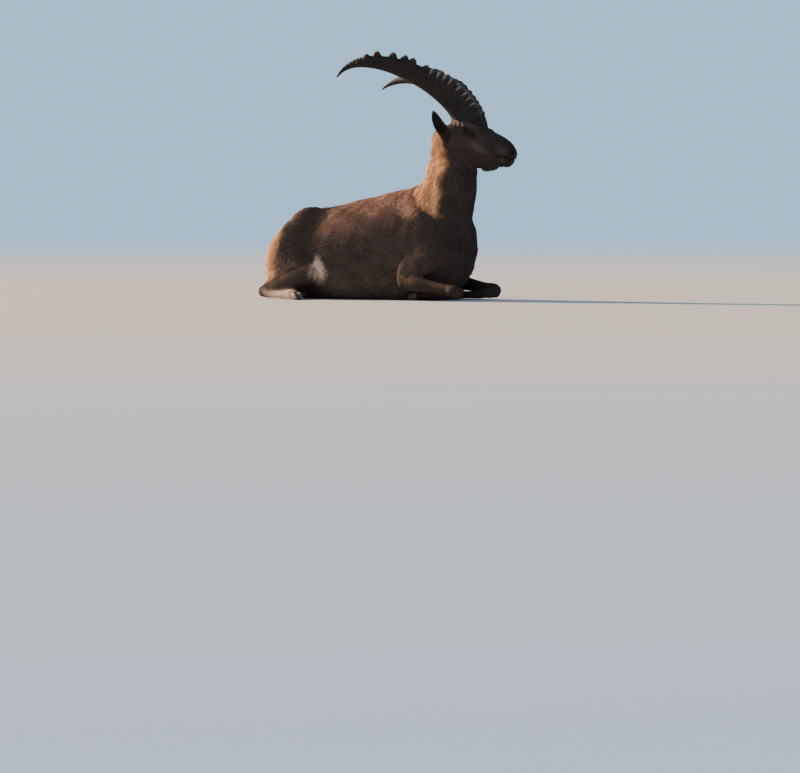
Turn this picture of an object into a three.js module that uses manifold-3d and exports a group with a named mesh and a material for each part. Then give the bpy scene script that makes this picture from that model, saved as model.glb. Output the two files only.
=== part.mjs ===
// A life-size alpine ibex: an old male that lies with its legs folded under it and its head raised.
// Millimetres, +Z up, +X towards the head; the animal's right side is on -Y and it lies on the plane z = 0.
import * as THREE from 'three';
import { mergeVertices } from 'three/addons/utils/BufferGeometryUtils.js';
import Module from 'manifold-3d';

const wasm = await Module();
wasm.setup();

// Driving dimensions
const withersHeight = 425;
const chestHalfWidth = 150;
const headLength = 298;
const hornLength = 617;
const earLength = 134;
const eyeRadius = 17.5;
const tailLength = 135;
const gap = 0.4;
const floorReach = 1500;

// The head's place, the point midway between the eyes, and its turn: to the left, a roll and nose down
const headPlace = new THREE.Vector3(415, 15, 608);
const headYaw = THREE.MathUtils.degToRad(14);
const headRoll = THREE.MathUtils.degToRad(-6);
const headPitch = THREE.MathUtils.degToRad(22);
const levelHead = new THREE.Matrix4()
  .makeTranslation(headPlace.x, headPlace.y, headPlace.z)
  .multiply(new THREE.Matrix4().makeRotationZ(headYaw))
  .multiply(new THREE.Matrix4().makeRotationX(headRoll));
const headFrame = levelHead.clone().multiply(new THREE.Matrix4().makeRotationY(headPitch));

const right = -1;
const left = 1;
const both = [right, left];
const sideName = (side) => (side === right ? 'right' : 'left');
const vec = (x, y, z) => new THREE.Vector3(x, y, z);

// A seeded random number between -1 and 1, so that every build is the same
let seed = 7;
function wobble() {
  seed = (seed * 16807) % 2147483647;
  return (seed / 2147483647) * 2 - 1;
}

// Solids

// A closed solid from a geometry; a surface that faces inwards is turned round.
function solidOf(geometry) {
  const bare = geometry.clone();
  bare.deleteAttribute('normal');
  bare.deleteAttribute('uv');
  const merged = mergeVertices(bare, 1e-4);
  const vertProperties = new Float32Array(merged.attributes.position.array);
  const triVerts = new Uint32Array(merged.index.array);
  const made = new wasm.Manifold(new wasm.Mesh({ numProp: 3, vertProperties, triVerts }));
  if (made.volume() > 0) return made;
  const turned = triVerts.map((v, i) => triVerts[i % 3 === 0 ? i : i % 3 === 1 ? i + 1 : i - 1]);
  return new wasm.Manifold(new wasm.Mesh({ numProp: 3, vertProperties, triVerts: turned }));
}

function geometryOf(solid) {
  const { vertProperties, triVerts, numProp } = solid.getMesh();
  const position = new Float32Array((vertProperties.length / numProp) * 3);
  for (let i = 0; i < position.length / 3; i++) {
    position.set(vertProperties.subarray(i * numProp, i * numProp + 3), i * 3);
  }
  const geometry = new THREE.BufferGeometry();
  geometry.setAttribute('position', new THREE.BufferAttribute(position, 3));
  geometry.setIndex(new THREE.BufferAttribute(new Uint32Array(triVerts), 1));
  return geometry;
}

// The solid grown by a small distance along its normals, to cut clearance in a neighbour.
function swollen(solid, by = gap) {
  const geometry = geometryOf(solid);
  geometry.computeVertexNormals();
  const { position, normal } = geometry.attributes;
  for (let i = 0; i < position.count; i++) {
    position.setXYZ(
      i,
      position.getX(i) + normal.getX(i) * by,
      position.getY(i) + normal.getY(i) * by,
      position.getZ(i) + normal.getZ(i) * by,
    );
  }
  return solidOf(geometry);
}

// The same solid with fewer triangles, within a small distance of its surface
const lighter = (solid, within = 0.5) => solid.simplify(within);

const largest = (solid) => solid.decompose().sort((a, b) => b.volume() - a.volume())[0];
const joined = (solids) => solids.reduce((whole, piece) => whole.add(piece));
function block(from, to) {
  const size = to.clone().sub(from);
  const centre = from.clone().add(to).multiplyScalar(0.5);
  return solidOf(new THREE.BoxGeometry(size.x, size.y, size.z).translate(centre.x, centre.y, centre.z));
}

const underground = block(vec(-floorReach, -floorReach, -floorReach), vec(floorReach, floorReach, 0));
const onFloor = (solid) => largest(solid.subtract(underground));

// Surfaces

// The closed surface over a row of rings with equal numbers of points; each end closes on its middle.
function skinOver(rings) {
  const sides = rings[0].length;
  const middle = (ring) => ring.reduce((sum, p) => sum.add(p), vec(0, 0, 0)).divideScalar(sides);
  const points = [...rings.flat(), middle(rings[0]), middle(rings.at(-1))];
  const first = points.length - 2;
  const last = points.length - 1;
  const index = [];
  for (let r = 0; r < rings.length - 1; r++) {
    for (let k = 0; k < sides; k++) {
      const a = r * sides + k;
      const b = r * sides + ((k + 1) % sides);
      index.push(a, b, b + sides, a, b + sides, a + sides);
    }
  }
  const end = (rings.length - 1) * sides;
  for (let k = 0; k < sides; k++) {
    const next = (k + 1) % sides;
    index.push(first, next, k, last, end + k, end + next);
  }
  const geometry = new THREE.BufferGeometry().setFromPoints(points);
  geometry.setIndex(index);
  return geometry;
}

// The value at a place in a table whose rows start with their place, smooth between the rows.
function smoothTable(rows) {
  const places = rows.map((row) => row[0]);
  const values = rows.flatMap((row) => row.slice(1));
  const curve = new THREE.CubicInterpolant(places, values, rows[0].length - 1);
  return (place) => Array.from(curve.evaluate(place));
}

const spread = (from, to, count) =>
  Array.from({ length: count }, (_, i) => THREE.MathUtils.lerp(from, to, i / (count - 1)));

const bent = (value, power) => Math.sign(value) * Math.abs(value) ** (2 / power);

// Half-sizes of the sections at a limb's joints are [across, deep]; the curve runs through the joints.
function limb({ joints, halves, across, sides = 10, steps = 2, power = 2.2, round = 0.6, capRings = 1 }) {
  const path = new THREE.CatmullRomCurve3(joints.map((j) => vec(...j)), false, 'centripetal');
  const sizes = new THREE.CatmullRomCurve3(halves.map(([w, d]) => vec(w, d, 0)), false, 'catmullrom', 0.5);
  const count = (joints.length - 1) * steps;
  const rings = [];
  const ringAt = (t, shift, shrink) => {
    const along = path.getTangent(t);
    const deep = along.clone().cross(across).normalize();
    const wide = deep.clone().cross(along).normalize();
    const size = sizes.getPoint(t).multiplyScalar(shrink);
    const centre = path.getPoint(t).addScaledVector(along, shift);
    rings.push(
      Array.from({ length: sides }, (_, k) => {
        const angle = (2 * Math.PI * k) / sides;
        return centre
          .clone()
          .addScaledVector(wide, size.x * bent(Math.cos(angle), power))
          .addScaledVector(deep, size.y * bent(Math.sin(angle), power));
      }),
    );
  };
  const caps = [[], [0.6], [0.35, 0.75]][capRings];
  const capReach = (shrink, i) => Math.sqrt(1 - shrink ** 2) * round * Math.min(...halves[i]);
  for (const shrink of caps) ringAt(0, -capReach(shrink, 0), shrink);
  for (let i = 0; i <= count; i++) ringAt(i / count, 0, 1);
  for (const shrink of caps.toReversed()) ringAt(1, capReach(shrink, halves.length - 1), shrink);
  return solidOf(skinOver(rings));
}

// A point of an egg-shaped section: y across and z up, with its widest level at z = wide.
function eggPoint(angle, { half, top, bottom, wide, topPower, bottomPower }) {
  const up = Math.sin(angle);
  const power = up > 0 ? topPower : bottomPower;
  const reach = up > 0 ? top - wide : wide - bottom;
  return [half * bent(Math.cos(angle), power), wide + reach * bent(up, power)];
}

// A flat, tapered lock of hair that leaves its root along one way and bends towards another.
function lock({ root, way, bendTo, face, length, width, thick, stations = 4 }) {
  const rings = [];
  const point = root.clone();
  for (let i = 0; i < stations; i++) {
    const t = i / (stations - 1);
    const along = way.clone().lerp(bendTo, t).normalize();
    const flat = along.clone().cross(face).normalize();
    const out = flat.clone().cross(along).normalize();
    const taper = Math.max(0.12, Math.sin(Math.PI * (0.32 + 0.66 * t)) ** 0.8);
    const halfWidth = (width / 2) * taper;
    const halfThick = (thick / 2) * taper;
    rings.push(
      [[1, 0], [0, 1], [-1, 0], [0, -1]].map(([a, b]) =>
        point.clone().addScaledVector(flat, a * halfWidth).addScaledVector(out, b * halfThick),
      ),
    );
    point.addScaledVector(along, length / (stations - 1));
  }
  return solidOf(skinOver(rings));
}

// The trunk

// Along x: half width, top, bottom, level of the widest part, powers of the upper and lower outlines
const trunkTable = smoothTable([
  [-467, 12, 142, 106, 124, 2.0, 2.0],
  [-462, 30, 168, 80, 125, 2.0, 2.0],
  [-450, 62, 196, 40, 128, 2.0, 2.0],
  [-425, 98, 235, 8, 135, 2.0, 2.1],
  [-380, 132, 292, -14, 145, 2.0, 2.2],
  [-330, 152, 325, -20, 152, 2.0, 2.2],
  [-275, 164, 334, -22, 157, 1.9, 2.2],
  [-200, 176, 343, -22, 160, 1.8, 2.2],
  [-100, 182, 366, -22, 162, 1.75, 2.2],
  [0, 172, 386, -20, 168, 1.7, 2.1],
  [100, chestHalfWidth + 8, 406, -16, 178, 1.65, 1.9],
  [200, chestHalfWidth - 4, withersHeight, -10, 190, 1.6, 1.6],
  [265, 136, 414, 0, 200, 1.7, 1.5],
  [320, 122, 385, 18, 208, 1.9, 1.6],
  [365, 96, 340, 52, 205, 2.0, 1.8],
  [392, 66, 295, 98, 198, 2.0, 1.9],
  [408, 32, 250, 148, 196, 2.0, 2.0],
  [414, 12, 216, 176, 196, 2.0, 2.0],
]);
const trunkEnds = [-467, 414];
const trunkSides = 28;

function trunkForm() {
  const [rear, front] = trunkEnds;
  const places = [rear, -460, -445, -420, ...spread(-385, 345, 15), 372, 394, 408, front];
  const rings = places.map((x) => {
    const [half, top, bottom, wide, topPower, bottomPower] = trunkTable(x);
    const section = { half, top, bottom, wide, topPower, bottomPower };
    return Array.from({ length: trunkSides }, (_, k) => {
      const [y, z] = eggPoint((2 * Math.PI * k) / trunkSides, section);
      return vec(x, y, z);
    });
  });
  return solidOf(skinOver(rings));
}

// The haunch, from the hip bone down: for each height, the middle in x and y and the half-sizes in x and y
const haunchTable = smoothTable([
  [34, -268, -150, 60, 40],
  [45, -268, -152, 98, 56],
  [70, -270, -152, 128, 70],
  [100, -272, -150, 132, 78],
  [145, -280, -142, 127, 80],
  [190, -288, -132, 118, 76],
  [235, -286, -118, 99, 66],
  [275, -275, -104, 77, 54],
  [310, -259, -92, 65, 42],
  [334, -250, -85, 50, 28],
  [345, -247, -82, 30, 12],
]);
const farHipDrop = 0.88;
const farHipOut = 1.06;
const haunchSides = 18;

// The hips roll to the animal's left, so that side sits lower and further out.
function haunchForm(side) {
  const heights = [34, 38, 48, 64, ...spread(85, 300, 8), 322, 338, 345];
  const drop = side === right ? 1 : farHipDrop;
  const out = side === right ? 1 : farHipOut;
  const rings = heights.map((z) => {
    const [x, y, halfX, halfY] = haunchTable(z);
    return Array.from({ length: haunchSides }, (_, k) => {
      const angle = (2 * Math.PI * k) / haunchSides;
      const across = -side * y * out + halfY * bent(Math.sin(angle), 2.1);
      return vec(x + halfX * bent(Math.cos(angle), 2.2), across, z * drop);
    });
  });
  return solidOf(skinOver(rings));
}

// Legs

const mirrored = (joints, side) => joints.map(([x, y, z]) => [x, side * y, z]);
const upward = vec(0, 0, 1);

const shankForm = (side) =>
  limb({
    joints: mirrored(
      [[-158, 196, 96], [-212, 204, 84], [-285, 204, 66], [-343, 200, 50], [-380, 196, 40]],
      side,
    ),
    halves: [[40, 34], [44, 40], [37, 34], [25, 22], [24, 24]],
    across: vec(0, side, 0.2).normalize(),
  });

const hindCannonForm = (side) =>
  limb({
    joints: mirrored(
      [[-397, 200, 30], [-370, 206, 25], [-318, 216, 19], [-268, 226, 19], [-246, 230, 20]],
      side,
    ),
    halves: [[20, 22], [20, 21], [14, 16], [14.5, 16], [19, 20]],
    across: vec(0, side, 0),
    capRings: 2,
  });

const hindPasternForm = (side) =>
  limb({
    joints: mirrored([[-232, 240, 21], [-214, 252, 20], [-200, 262, 20]], side),
    halves: [[16, 17], [15.5, 15.5], [18, 17]],
    across: upward,
    steps: 2,
  });

const shoulderForm = (side) =>
  limb({
    joints: mirrored([[196, 60, 368], [236, 84, 312], [280, 98, 244], [314, 100, 186]], side),
    halves: [[22, 44], [34, 62], [36, 66], [34, 50]],
    across: vec(0.15, side, 0.3).normalize(),
    sides: 14,
  });

const upperArmForm = (side) =>
  limb({
    joints: mirrored([[318, 104, 168], [276, 118, 146], [228, 132, 118], [200, 140, 94]], side),
    halves: [[34, 46], [36, 54], [31, 44], [26, 28]],
    across: vec(0, side, 0.2).normalize(),
    sides: 14,
  });

const forearmForm = (side) =>
  limb({
    joints: mirrored([[206, 148, 74], [262, 150, 64], [330, 144, 52], [392, 134, 42]], side),
    halves: [[30, 32], [29, 30], [23, 24], [22, 23]],
    across: vec(0, side, 0.1).normalize(),
  });

const kneeForm = (side) =>
  limb({
    joints: mirrored([[398, 133, 40], [424, 128, 36], [440, 118, 30]], side),
    halves: [[24, 25], [26, 27], [22, 24]],
    across: vec(0, side, 0),
    capRings: 2,
  });

const foreCannonForm = (side) =>
  limb({
    joints: mirrored([[424, 108, 26], [372, 100, 20], [318, 92, 19], [292, 88, 20]], side),
    halves: [[18, 19], [14, 15], [14, 15], [18, 18]],
    across: vec(0, side, 0),
  });

const forePasternForm = (side) =>
  limb({
    joints: mirrored([[278, 86, 20], [258, 84, 19], [246, 83, 19]], side),
    halves: [[16, 16], [15, 15], [17, 16]],
    across: upward,
    steps: 2,
  });

const clawSpread = 11.5;
const dewclawSpread = 10;
const dewclawLength = 22;

// One claw of a cloven hoof, from its coronet to its tip; shift moves it to its half of the hoof.
function clawForm(coronet, tip, shift) {
  const along = tip.clone().sub(coronet);
  const at = (t, drop) => {
    const middle = coronet.clone().addScaledVector(along, t).addScaledVector(shift, 1 - 0.25 * t);
    return [middle.x, middle.y, middle.z - drop];
  };
  return limb({
    joints: [at(0, 0), at(0.35, 0), at(0.72, 2), at(1, 6)],
    halves: [[15, 9.5], [16, 10.5], [13, 9.5], [5, 4]],
    across: upward,
    sides: 8,
    steps: 1,
    power: 2.6,
    round: 0.4,
    capRings: 0,
  });
}

// Both claws of a hoof whose middle line runs from coronet to tip
function clawPair(coronet, tip) {
  const across = tip.clone().sub(coronet).cross(upward).setLength(clawSpread);
  return [clawForm(coronet, tip, across), clawForm(coronet, tip, across.clone().negate())];
}

// The small dewclaws behind a fetlock
function dewclaws(fetlock, way, across) {
  return both.map((side) => {
    const root = fetlock.clone().addScaledVector(across, side * dewclawSpread);
    return limb({
      joints: [0, 0.5, 1].map((t) => root.clone().addScaledVector(way, dewclawLength * t).toArray()),
      halves: [[8, 7], [7.5, 6.5], [4, 3.5]],
      across,
      sides: 6,
      steps: 1,
      capRings: 0,
    });
  });
}

const hindDewclaws = (side) =>
  dewclaws(vec(-240, side * 230, 29), vec(0.75, -side * 0.62, -0.1), vec(0.6, side * 0.7, 0.35));
const foreClawPair = (side) => clawPair(vec(236, side * 82, 16), vec(186, side * 78, 12));
const hindClawPair = (side) => clawPair(vec(-196, side * 265, 16), vec(-158, side * 296, 12));

// The neck

const neckForm = () =>
  limb({
    joints: [
      [232, 0, 262], [272, 0, 330], [306, 0, 400], [321, 0, 462],
      [328, 0, 530], [336, -2, 590], [344, -2, 612],
    ],
    halves: [[118, 128], [108, 122], [88, 108], [76, 98], [68, 90], [62, 80], [50, 62]],
    across: vec(0, 1, 0),
    sides: 16,
    power: 2.1,
    round: 0.5,
  });

// The tail lies down the rump; its long hair ends in a few locks.
const tailRoot = vec(-436, -2, 222);
const tailWay = vec(-0.34, -0.06, -0.94).normalize();

function tailForm() {
  const at = (t, lift) => {
    const { x, y, z } = tailRoot.clone().addScaledVector(tailWay, tailLength * t);
    return [x + lift, y, z];
  };
  const core = limb({
    joints: [at(-0.1, 24), at(0.15, 4), at(0.4, -4), at(0.62, -2)],
    halves: [[24, 15], [25, 14], [20, 11], [10, 6]],
    across: vec(0, 1, 0),
    sides: 12,
  });
  const locks = spread(-1, 1, 7).map((across) =>
    lock({
      root: vec(...at(0.36 + 0.05 * wobble(), 0)).add(vec(0, 15 * across, 0)),
      way: tailWay.clone().add(vec(-0.12, 0.3 * across, 0)).normalize(),
      bendTo: tailWay.clone().add(vec(0.22, 0.1 * across, 0)).normalize(),
      face: vec(-1, 0, 0),
      length: tailLength * (0.62 + 0.05 * wobble() - 0.12 * Math.abs(across)),
      width: 17,
      thick: 7,
    }),
  );
  return joined([core, ...locks]);
}

// The head, in its own frame: origin midway between the eyes, +X along the muzzle, +Z up

// Along x: top, bottom, half width, level of the widest part, powers of the upper and lower outlines
const headTable = smoothTable([
  [-128, -30, -92, 30, -60, 2.0, 2.0],
  [-116, -12, -108, 47, -56, 2.0, 2.0],
  [-85, 12, -120, 61, -46, 2.1, 1.9],
  [-50, 32, -126, 65, -36, 2.4, 1.8],
  [-15, 40, -124, 64, -26, 2.5, 1.7],
  [15, 41, -118, 60, -22, 2.4, 1.7],
  [45, 38, -112, 51, -22, 2.2, 1.8],
  [75, 37, -103, 42, -21, 2.2, 1.9],
  [105, 35, -85, 36.5, -21, 2.3, 2.0],
  [130, 30.5, -70, 34, -21, 2.4, 2.1],
  [149, 23.5, -67, 34.5, -21, 2.4, 2.2],
  [164, 13.5, -63, 32.5, -21, 2.3, 2.2],
  [174, 4, -53, 26, -21, 2.1, 2.1],
  [179.5, -6, -41, 16, -22, 2.0, 2.0],
  [182, -14, -33, 8, -22, 2.0, 2.0],
]);
const noseEnd = headLength - 116;
const headSides = 28;

// Where the skull, cheek and lips stand out from the plain form: place, reach and height, on both sides
const swellings = [
  { at: [4, 56, 24], reach: 17, height: 7 },
  { at: [36, 43, 22], reach: 17, height: 8 },
  { at: [-20, 60, -8], reach: 16, height: 4 },
  { at: [26, 54, -10], reach: 14, height: -2.5 },
  { at: [50, 46, -18], reach: 18, height: 2.5 },
  { at: [-32, 60, -66], reach: 30, height: 4 },
  { at: [86, 34, -8], reach: 20, height: -2 },
  { at: [166, 30, -8], reach: 11, height: 3.5 },
  { at: [168, 30, -24], reach: 9, height: 2.5 },
  { at: [150, 30, -50], reach: 11, height: -2 },
  { at: [172, 20, -58], reach: 11, height: 2.5 },
  { at: [110, 32, -46], reach: 16, height: 1.5 },
];

function headForm() {
  const places = [-128, -121, ...spread(-108, 144, 17), 152, 161, 169, 175, 179.5, noseEnd];
  const rings = places.map((x) => {
    const [top, bottom, half, wide, topPower, bottomPower] = headTable(x);
    const section = { half, top, bottom, wide, topPower, bottomPower };
    return Array.from({ length: headSides }, (_, k) => {
      const [y, z] = eggPoint((2 * Math.PI * k) / headSides, section);
      const out = vec(0, y, z - wide).normalize();
      const push = swellings.reduce((sum, { at, reach, height }) => {
        const away = vec(x - at[0], Math.abs(y) - at[1], z - at[2]).length() / reach;
        return sum + height * Math.exp(-away * away);
      }, 0);
      return vec(x, y, z).addScaledVector(out, push);
    });
  });
  return skinOver(rings).applyMatrix4(headFrame);
}

const eyePlace = (side) => vec(-3, side * 46, 2.5);
const eyeForm = (side) => {
  const { x, y, z } = eyePlace(side);
  const ball = new THREE.SphereGeometry(eyeRadius, 12, 8).rotateX(Math.PI / 2).translate(x, y, z);
  return solidOf(ball.applyMatrix4(headFrame));
};

// The lids: a thicker ball over the eye, later cut open along an almond
const lidThickness = 3.2;
const lidForm = (side) => {
  const { x, y, z } = eyePlace(side);
  const ball = new THREE.SphereGeometry(eyeRadius + lidThickness, 16, 10).scale(1.08, 1, 0.94);
  return solidOf(ball.rotateX(Math.PI / 2).translate(x, y, z).applyMatrix4(headFrame));
};

// The almond between the lids runs forward and down to the tear corner.
function lidOpening(side) {
  const halfLength = 19;
  const halfHeight = 11;
  const outline = new THREE.Shape();
  outline.moveTo(halfLength, 0);
  outline.quadraticCurveTo(2, halfHeight * 2, -halfLength, 0);
  outline.quadraticCurveTo(0, -halfHeight * 1.7, halfLength, 0);
  const prism = new THREE.ExtrudeGeometry(outline, { depth: 40, bevelEnabled: false, curveSegments: 6 });
  const { x, y, z } = eyePlace(side);
  const tilt = THREE.MathUtils.degToRad(4);
  prism.rotateX(Math.PI / 2).rotateY(tilt);
  if (side === left) prism.translate(0, 40, 0);
  return solidOf(prism.translate(x, y + side * 4, z).applyMatrix4(headFrame));
}

// The bony seat under a horn; its upper face is the sloping plane that the horn's root stands on.
const seatTilt = THREE.MathUtils.degToRad(-5);
const seatMiddle = vec(-18, 36, 32);
const seatSides = 14;

function seatPlane(above) {
  const reach = 1000;
  const middle = above ? reach + gap / 2 : -reach - gap / 2;
  const slab = new THREE.BoxGeometry(2 * reach, 2 * reach, 2 * reach).translate(0, 0, middle);
  slab.rotateY(seatTilt).translate(seatMiddle.x, 0, seatMiddle.z);
  return solidOf(slab.applyMatrix4(headFrame));
}

function seatForm(side) {
  const levels = smoothTable([
    [-20, 44, 24, 27],
    [4, 57, 29, 30.5],
    [20, 61, 30, 33.5],
    [34, 62, 31, 34.5],
    [60, 62, 31, 34.5],
  ]);
  const rings = [-20, -4, 12, 24, 34, 60].map((z) => {
    const [halfX, halfY, y] = levels(z);
    return Array.from({ length: seatSides }, (_, k) => {
      const angle = (2 * Math.PI * k) / seatSides;
      const across = side * y + halfY * bent(Math.sin(angle), 2.2);
      return vec(seatMiddle.x + halfX * Math.cos(angle), across, z);
    });
  });
  return solidOf(skinOver(rings).applyMatrix4(headFrame)).intersect(seatPlane(false));
}

// A nostril: a slanting comma in the side of the muzzle's end
function nostrilForm(side) {
  const hollow = new THREE.SphereGeometry(1, 10, 6).scale(11, 7, 4);
  hollow.rotateY(THREE.MathUtils.degToRad(30)).rotateZ(side * THREE.MathUtils.degToRad(-40));
  return solidOf(hollow.translate(170, side * 23, -7).applyMatrix4(headFrame));
}

// The lower jaw's outline in the head's x and z: the line of the mouth, the cheek and the throat
function jawBlock(inset) {
  const outline = new THREE.Shape();
  outline.moveTo(noseEnd + 20, -23.2 - inset);
  outline.quadraticCurveTo(150, -32.5 - inset, 126, -37 - inset);
  outline.quadraticCurveTo(110 + inset, -41 - inset, 98 + inset, -56);
  outline.lineTo(50 + inset, -150);
  outline.lineTo(noseEnd + 20, -150);
  const prism = new THREE.ExtrudeGeometry(outline, { depth: 160, bevelEnabled: false, curveSegments: 8 });
  return solidOf(prism.rotateX(Math.PI / 2).translate(0, 80, 0).applyMatrix4(headFrame));
}

// The beard: flat locks that lie back along the jaw, each over the next, and hang a little at their tips
const beardRoots = { back: vec(94, 0, -88), front: vec(140, 0, -64), halfWidth: 14 };
const beardRows = 7;
const beardLength = 38;

function beardForm() {
  const locks = [];
  for (let i = 0; i < beardRows; i++) {
    const along = i / (beardRows - 1);
    const fullness = Math.sin(Math.PI * (0.3 + 0.5 * along));
    for (const across of [-1, 0, 1]) {
      const root = beardRoots.back.clone().lerp(beardRoots.front, along);
      root.add(vec(3 * wobble(), across * beardRoots.halfWidth, across === 0 ? 0 : 5));
      locks.push(
        lock({
          root: root.applyMatrix4(headFrame),
          way: vec(-0.66, 0.14 * across + 0.1 * wobble(), -0.7).normalize(),
          bendTo: vec(-0.6, 0.08 * wobble(), -0.85 + 0.12 * wobble()).normalize(),
          face: vec(-0.6, 0.7 * across, -0.8).normalize(),
          length: beardLength * fullness * (1 + 0.12 * wobble()),
          width: 19,
          thick: 9,
          stations: 3,
        }),
      );
    }
  }
  return joined(locks);
}

// An ear: a leaf rolled into a cup, from its root on the skull to its tip
function earForm(side) {
  const root = vec(-65, side * 44, -64);
  const tip = vec(-143, side * 110, 23);
  const axis = tip.clone().sub(root).setLength(earLength);
  const middle = root.clone().addScaledVector(axis, 0.5).add(vec(-7, side * 7, -3));
  const path = new THREE.QuadraticBezierCurve3(root, middle, root.clone().add(axis));
  const opening = vec(0.95, side * 0.32, -0.05).normalize();
  const shape = smoothTable([
    [0, 15, 176, 6],
    [0.14, 17, 176, 6],
    [0.3, 19, 136, 5],
    [0.5, 21, 84, 4],
    [0.7, 20, 68, 3.6],
    [0.86, 15.5, 60, 3],
    [0.96, 8, 56, 2.4],
    [1, 3, 54, 1.8],
  ]);
  const arcPoints = 7;
  const rings = spread(0, 1, 11).map((t) => {
    const [radius, halfAngle, thick] = shape(t);
    const along = path.getTangent(t);
    const face = opening.clone().addScaledVector(along, -opening.dot(along)).normalize();
    const across = along.clone().cross(face).normalize();
    const reach = THREE.MathUtils.degToRad(halfAngle);
    const centre = path.getPoint(t).addScaledVector(face, radius * 0.35);
    const arc = (from, to, r) =>
      spread(from, to, arcPoints).map((angle) =>
        centre
          .clone()
          .addScaledVector(face, -r * Math.cos(angle))
          .addScaledVector(across, r * 1.08 * Math.sin(angle)),
      );
    const inner = reach * 0.97;
    return [...arc(-reach, reach, radius), ...arc(inner, -inner, Math.max(0.6, radius - thick))];
  });
  return solidOf(skinOver(rings).applyMatrix4(headFrame));
}

// Horns

// Angles of the horn's line in degrees, as sums of powers of the share of its length: how steeply it
// rises above the level and how far it turns out from straight back
const riseTerms = [83.4, -285, 479, -324, 0, 0, 0, 0, -10];
const turnTerms = [-1, 161, -176];
const hornRoot = vec(-9, 32, 15.5);
const sunkRoot = 30;

// No two horns grow alike: the left one leaves the skull lower, turns further out and falls less.
const leftRise = [-4.6, 9.8, 0, 0, 0, 0, 0, 0, 9];
const leftTurn = 3.3;

// The knobs on the front face: distance from the root and height
const knobs = [
  [47, 4], [67, 5], [88, 6], [109, 8], [135, 10], [168, 14], [195, 15], [218, 14],
  [244, 11], [274, 11], [327, 16], [355, 17], [397, 17], [452, 15], [487, 8],
];

// Half depth and half width of the horn at a share of its length, apart from the knobs
const hornSizes = smoothTable([
  [-0.05, 54, 29],
  [0, 54, 30],
  [0.2, 49, 30],
  [0.4, 39, 28],
  [0.6, 31, 23],
  [0.8, 20, 16],
  [0.92, 9.5, 8.5],
  [1, 2.5, 2],
]);

// The horn's line in the level frame of the head, from its sunk root to its tip
function hornLine(side) {
  const count = 60;
  const sum = (terms, s) => terms.reduce((total, term, power) => total + term * s ** power, 0);
  const wayAt = (s) => {
    const rise = THREE.MathUtils.degToRad(sum(riseTerms, s) + (side === left ? sum(leftRise, s) : 0));
    const turn = THREE.MathUtils.degToRad(sum(turnTerms, s) + (side === left ? leftTurn : 0));
    return vec(-Math.cos(rise) * Math.cos(turn), side * Math.cos(rise) * Math.sin(turn), Math.sin(rise));
  };
  const point = vec(hornRoot.x, side * hornRoot.y, hornRoot.z);
  const points = [point.clone().addScaledVector(wayAt(0), -sunkRoot), point.clone()];
  for (let i = 0; i < count; i++) {
    point.addScaledVector(wayAt((i + 0.5) / count), hornLength / count);
    points.push(point.clone());
  }
  return new THREE.CatmullRomCurve3(points);
}

// Rings stand close where a knob rises and falls, and further apart between the knobs.
function hornStations() {
  const stations = [{ d: -sunkRoot, height: 0 }, { d: 6, height: 0 }];
  for (const [d, height] of knobs) {
    const half = 5 + height * 0.5;
    stations.push({ d: d - half, height: 0 }, { d: d - half * 0.3, height });
    stations.push({ d: d + half * 0.35, height: height * 0.95 }, { d: d + half, height: 0 });
  }
  const tip = spread(505, hornLength, 7).map((d) => ({ d, height: 0 }));
  return [...stations, { d: 300, height: 0 }, { d: 376, height: 0 }, { d: 425, height: 0 }, ...tip].sort(
    (a, b) => a.d - b.d,
  );
}

function hornForm(side) {
  const line = hornLine(side);
  const sides = 10;
  const total = hornLength + sunkRoot;
  const bendAxis = line.getTangentAt(0.2).cross(line.getTangentAt(0.75)).normalize();
  const rings = hornStations().map(({ d, height }) => {
    const u = (d + sunkRoot) / total;
    const along = line.getTangentAt(u);
    const front = bendAxis.clone().cross(along).normalize();
    if (front.z < 0) front.negate();
    const across = along.clone().cross(front).normalize();
    const [halfDepth, halfWidth] = hornSizes(d / hornLength);
    const centre = line.getPointAt(u);
    return Array.from({ length: sides }, (_, k) => {
      const angle = (2 * Math.PI * (k + 0.5)) / sides;
      const ahead = Math.cos(angle);
      const raised = height * THREE.MathUtils.smoothstep(ahead, -0.1, 0.7);
      return centre
        .clone()
        .addScaledVector(front, halfDepth * bent(ahead, 2.5) + raised)
        .addScaledVector(across, halfWidth * bent(Math.sin(angle), 2.3) * (1 + 0.006 * raised));
    });
  });
  return solidOf(skinOver(rings).applyMatrix4(levelHead));
}

// Every node's solid, cut clear of its neighbours

const clawNames = ['outer', 'inner'];

// The whole form of every part; where two meet, the later one gives way to the earlier one.
const forms = new Map();
forms.set('trunk', lighter(onFloor(trunkForm()), 1.2));
for (const side of both) forms.set(`eye_${sideName(side)}`, eyeForm(side));
const headOnly = [solidOf(headForm()), ...both.flatMap((side) => [lidForm(side), seatForm(side)])];
forms.set('head', lighter(joined(headOnly), 1.1));
for (const side of both) {
  const name = sideName(side);
  const set = (part, form) => forms.set(`${part}_${name}`, form);
  set('hind_cannon', onFloor(hindCannonForm(side)));
  set('thigh', lighter(onFloor(haunchForm(side)), 1.2));
  set('shank', lighter(shankForm(side), 0.6));
  set('shoulder', lighter(shoulderForm(side), 0.5));
  set('upper_arm', lighter(upperArmForm(side), 0.6));
  set('forearm', onFloor(forearmForm(side)));
  set('knee', onFloor(kneeForm(side)));
  set('fore_cannon', onFloor(foreCannonForm(side)));
  set('fore_pastern', onFloor(forePasternForm(side)));
  set('hind_pastern', onFloor(joined([hindPasternForm(side), ...hindDewclaws(side)])));
  const foreClaws = foreClawPair(side);
  const hindClaws = hindClawPair(side);
  clawNames.forEach((which, i) => {
    set(`fore_claw_${which}`, onFloor(foreClaws[i]));
    set(`hind_claw_${which}`, onFloor(hindClaws[i]));
  });
}
forms.set('neck', lighter(neckForm(), 1.2));
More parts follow.
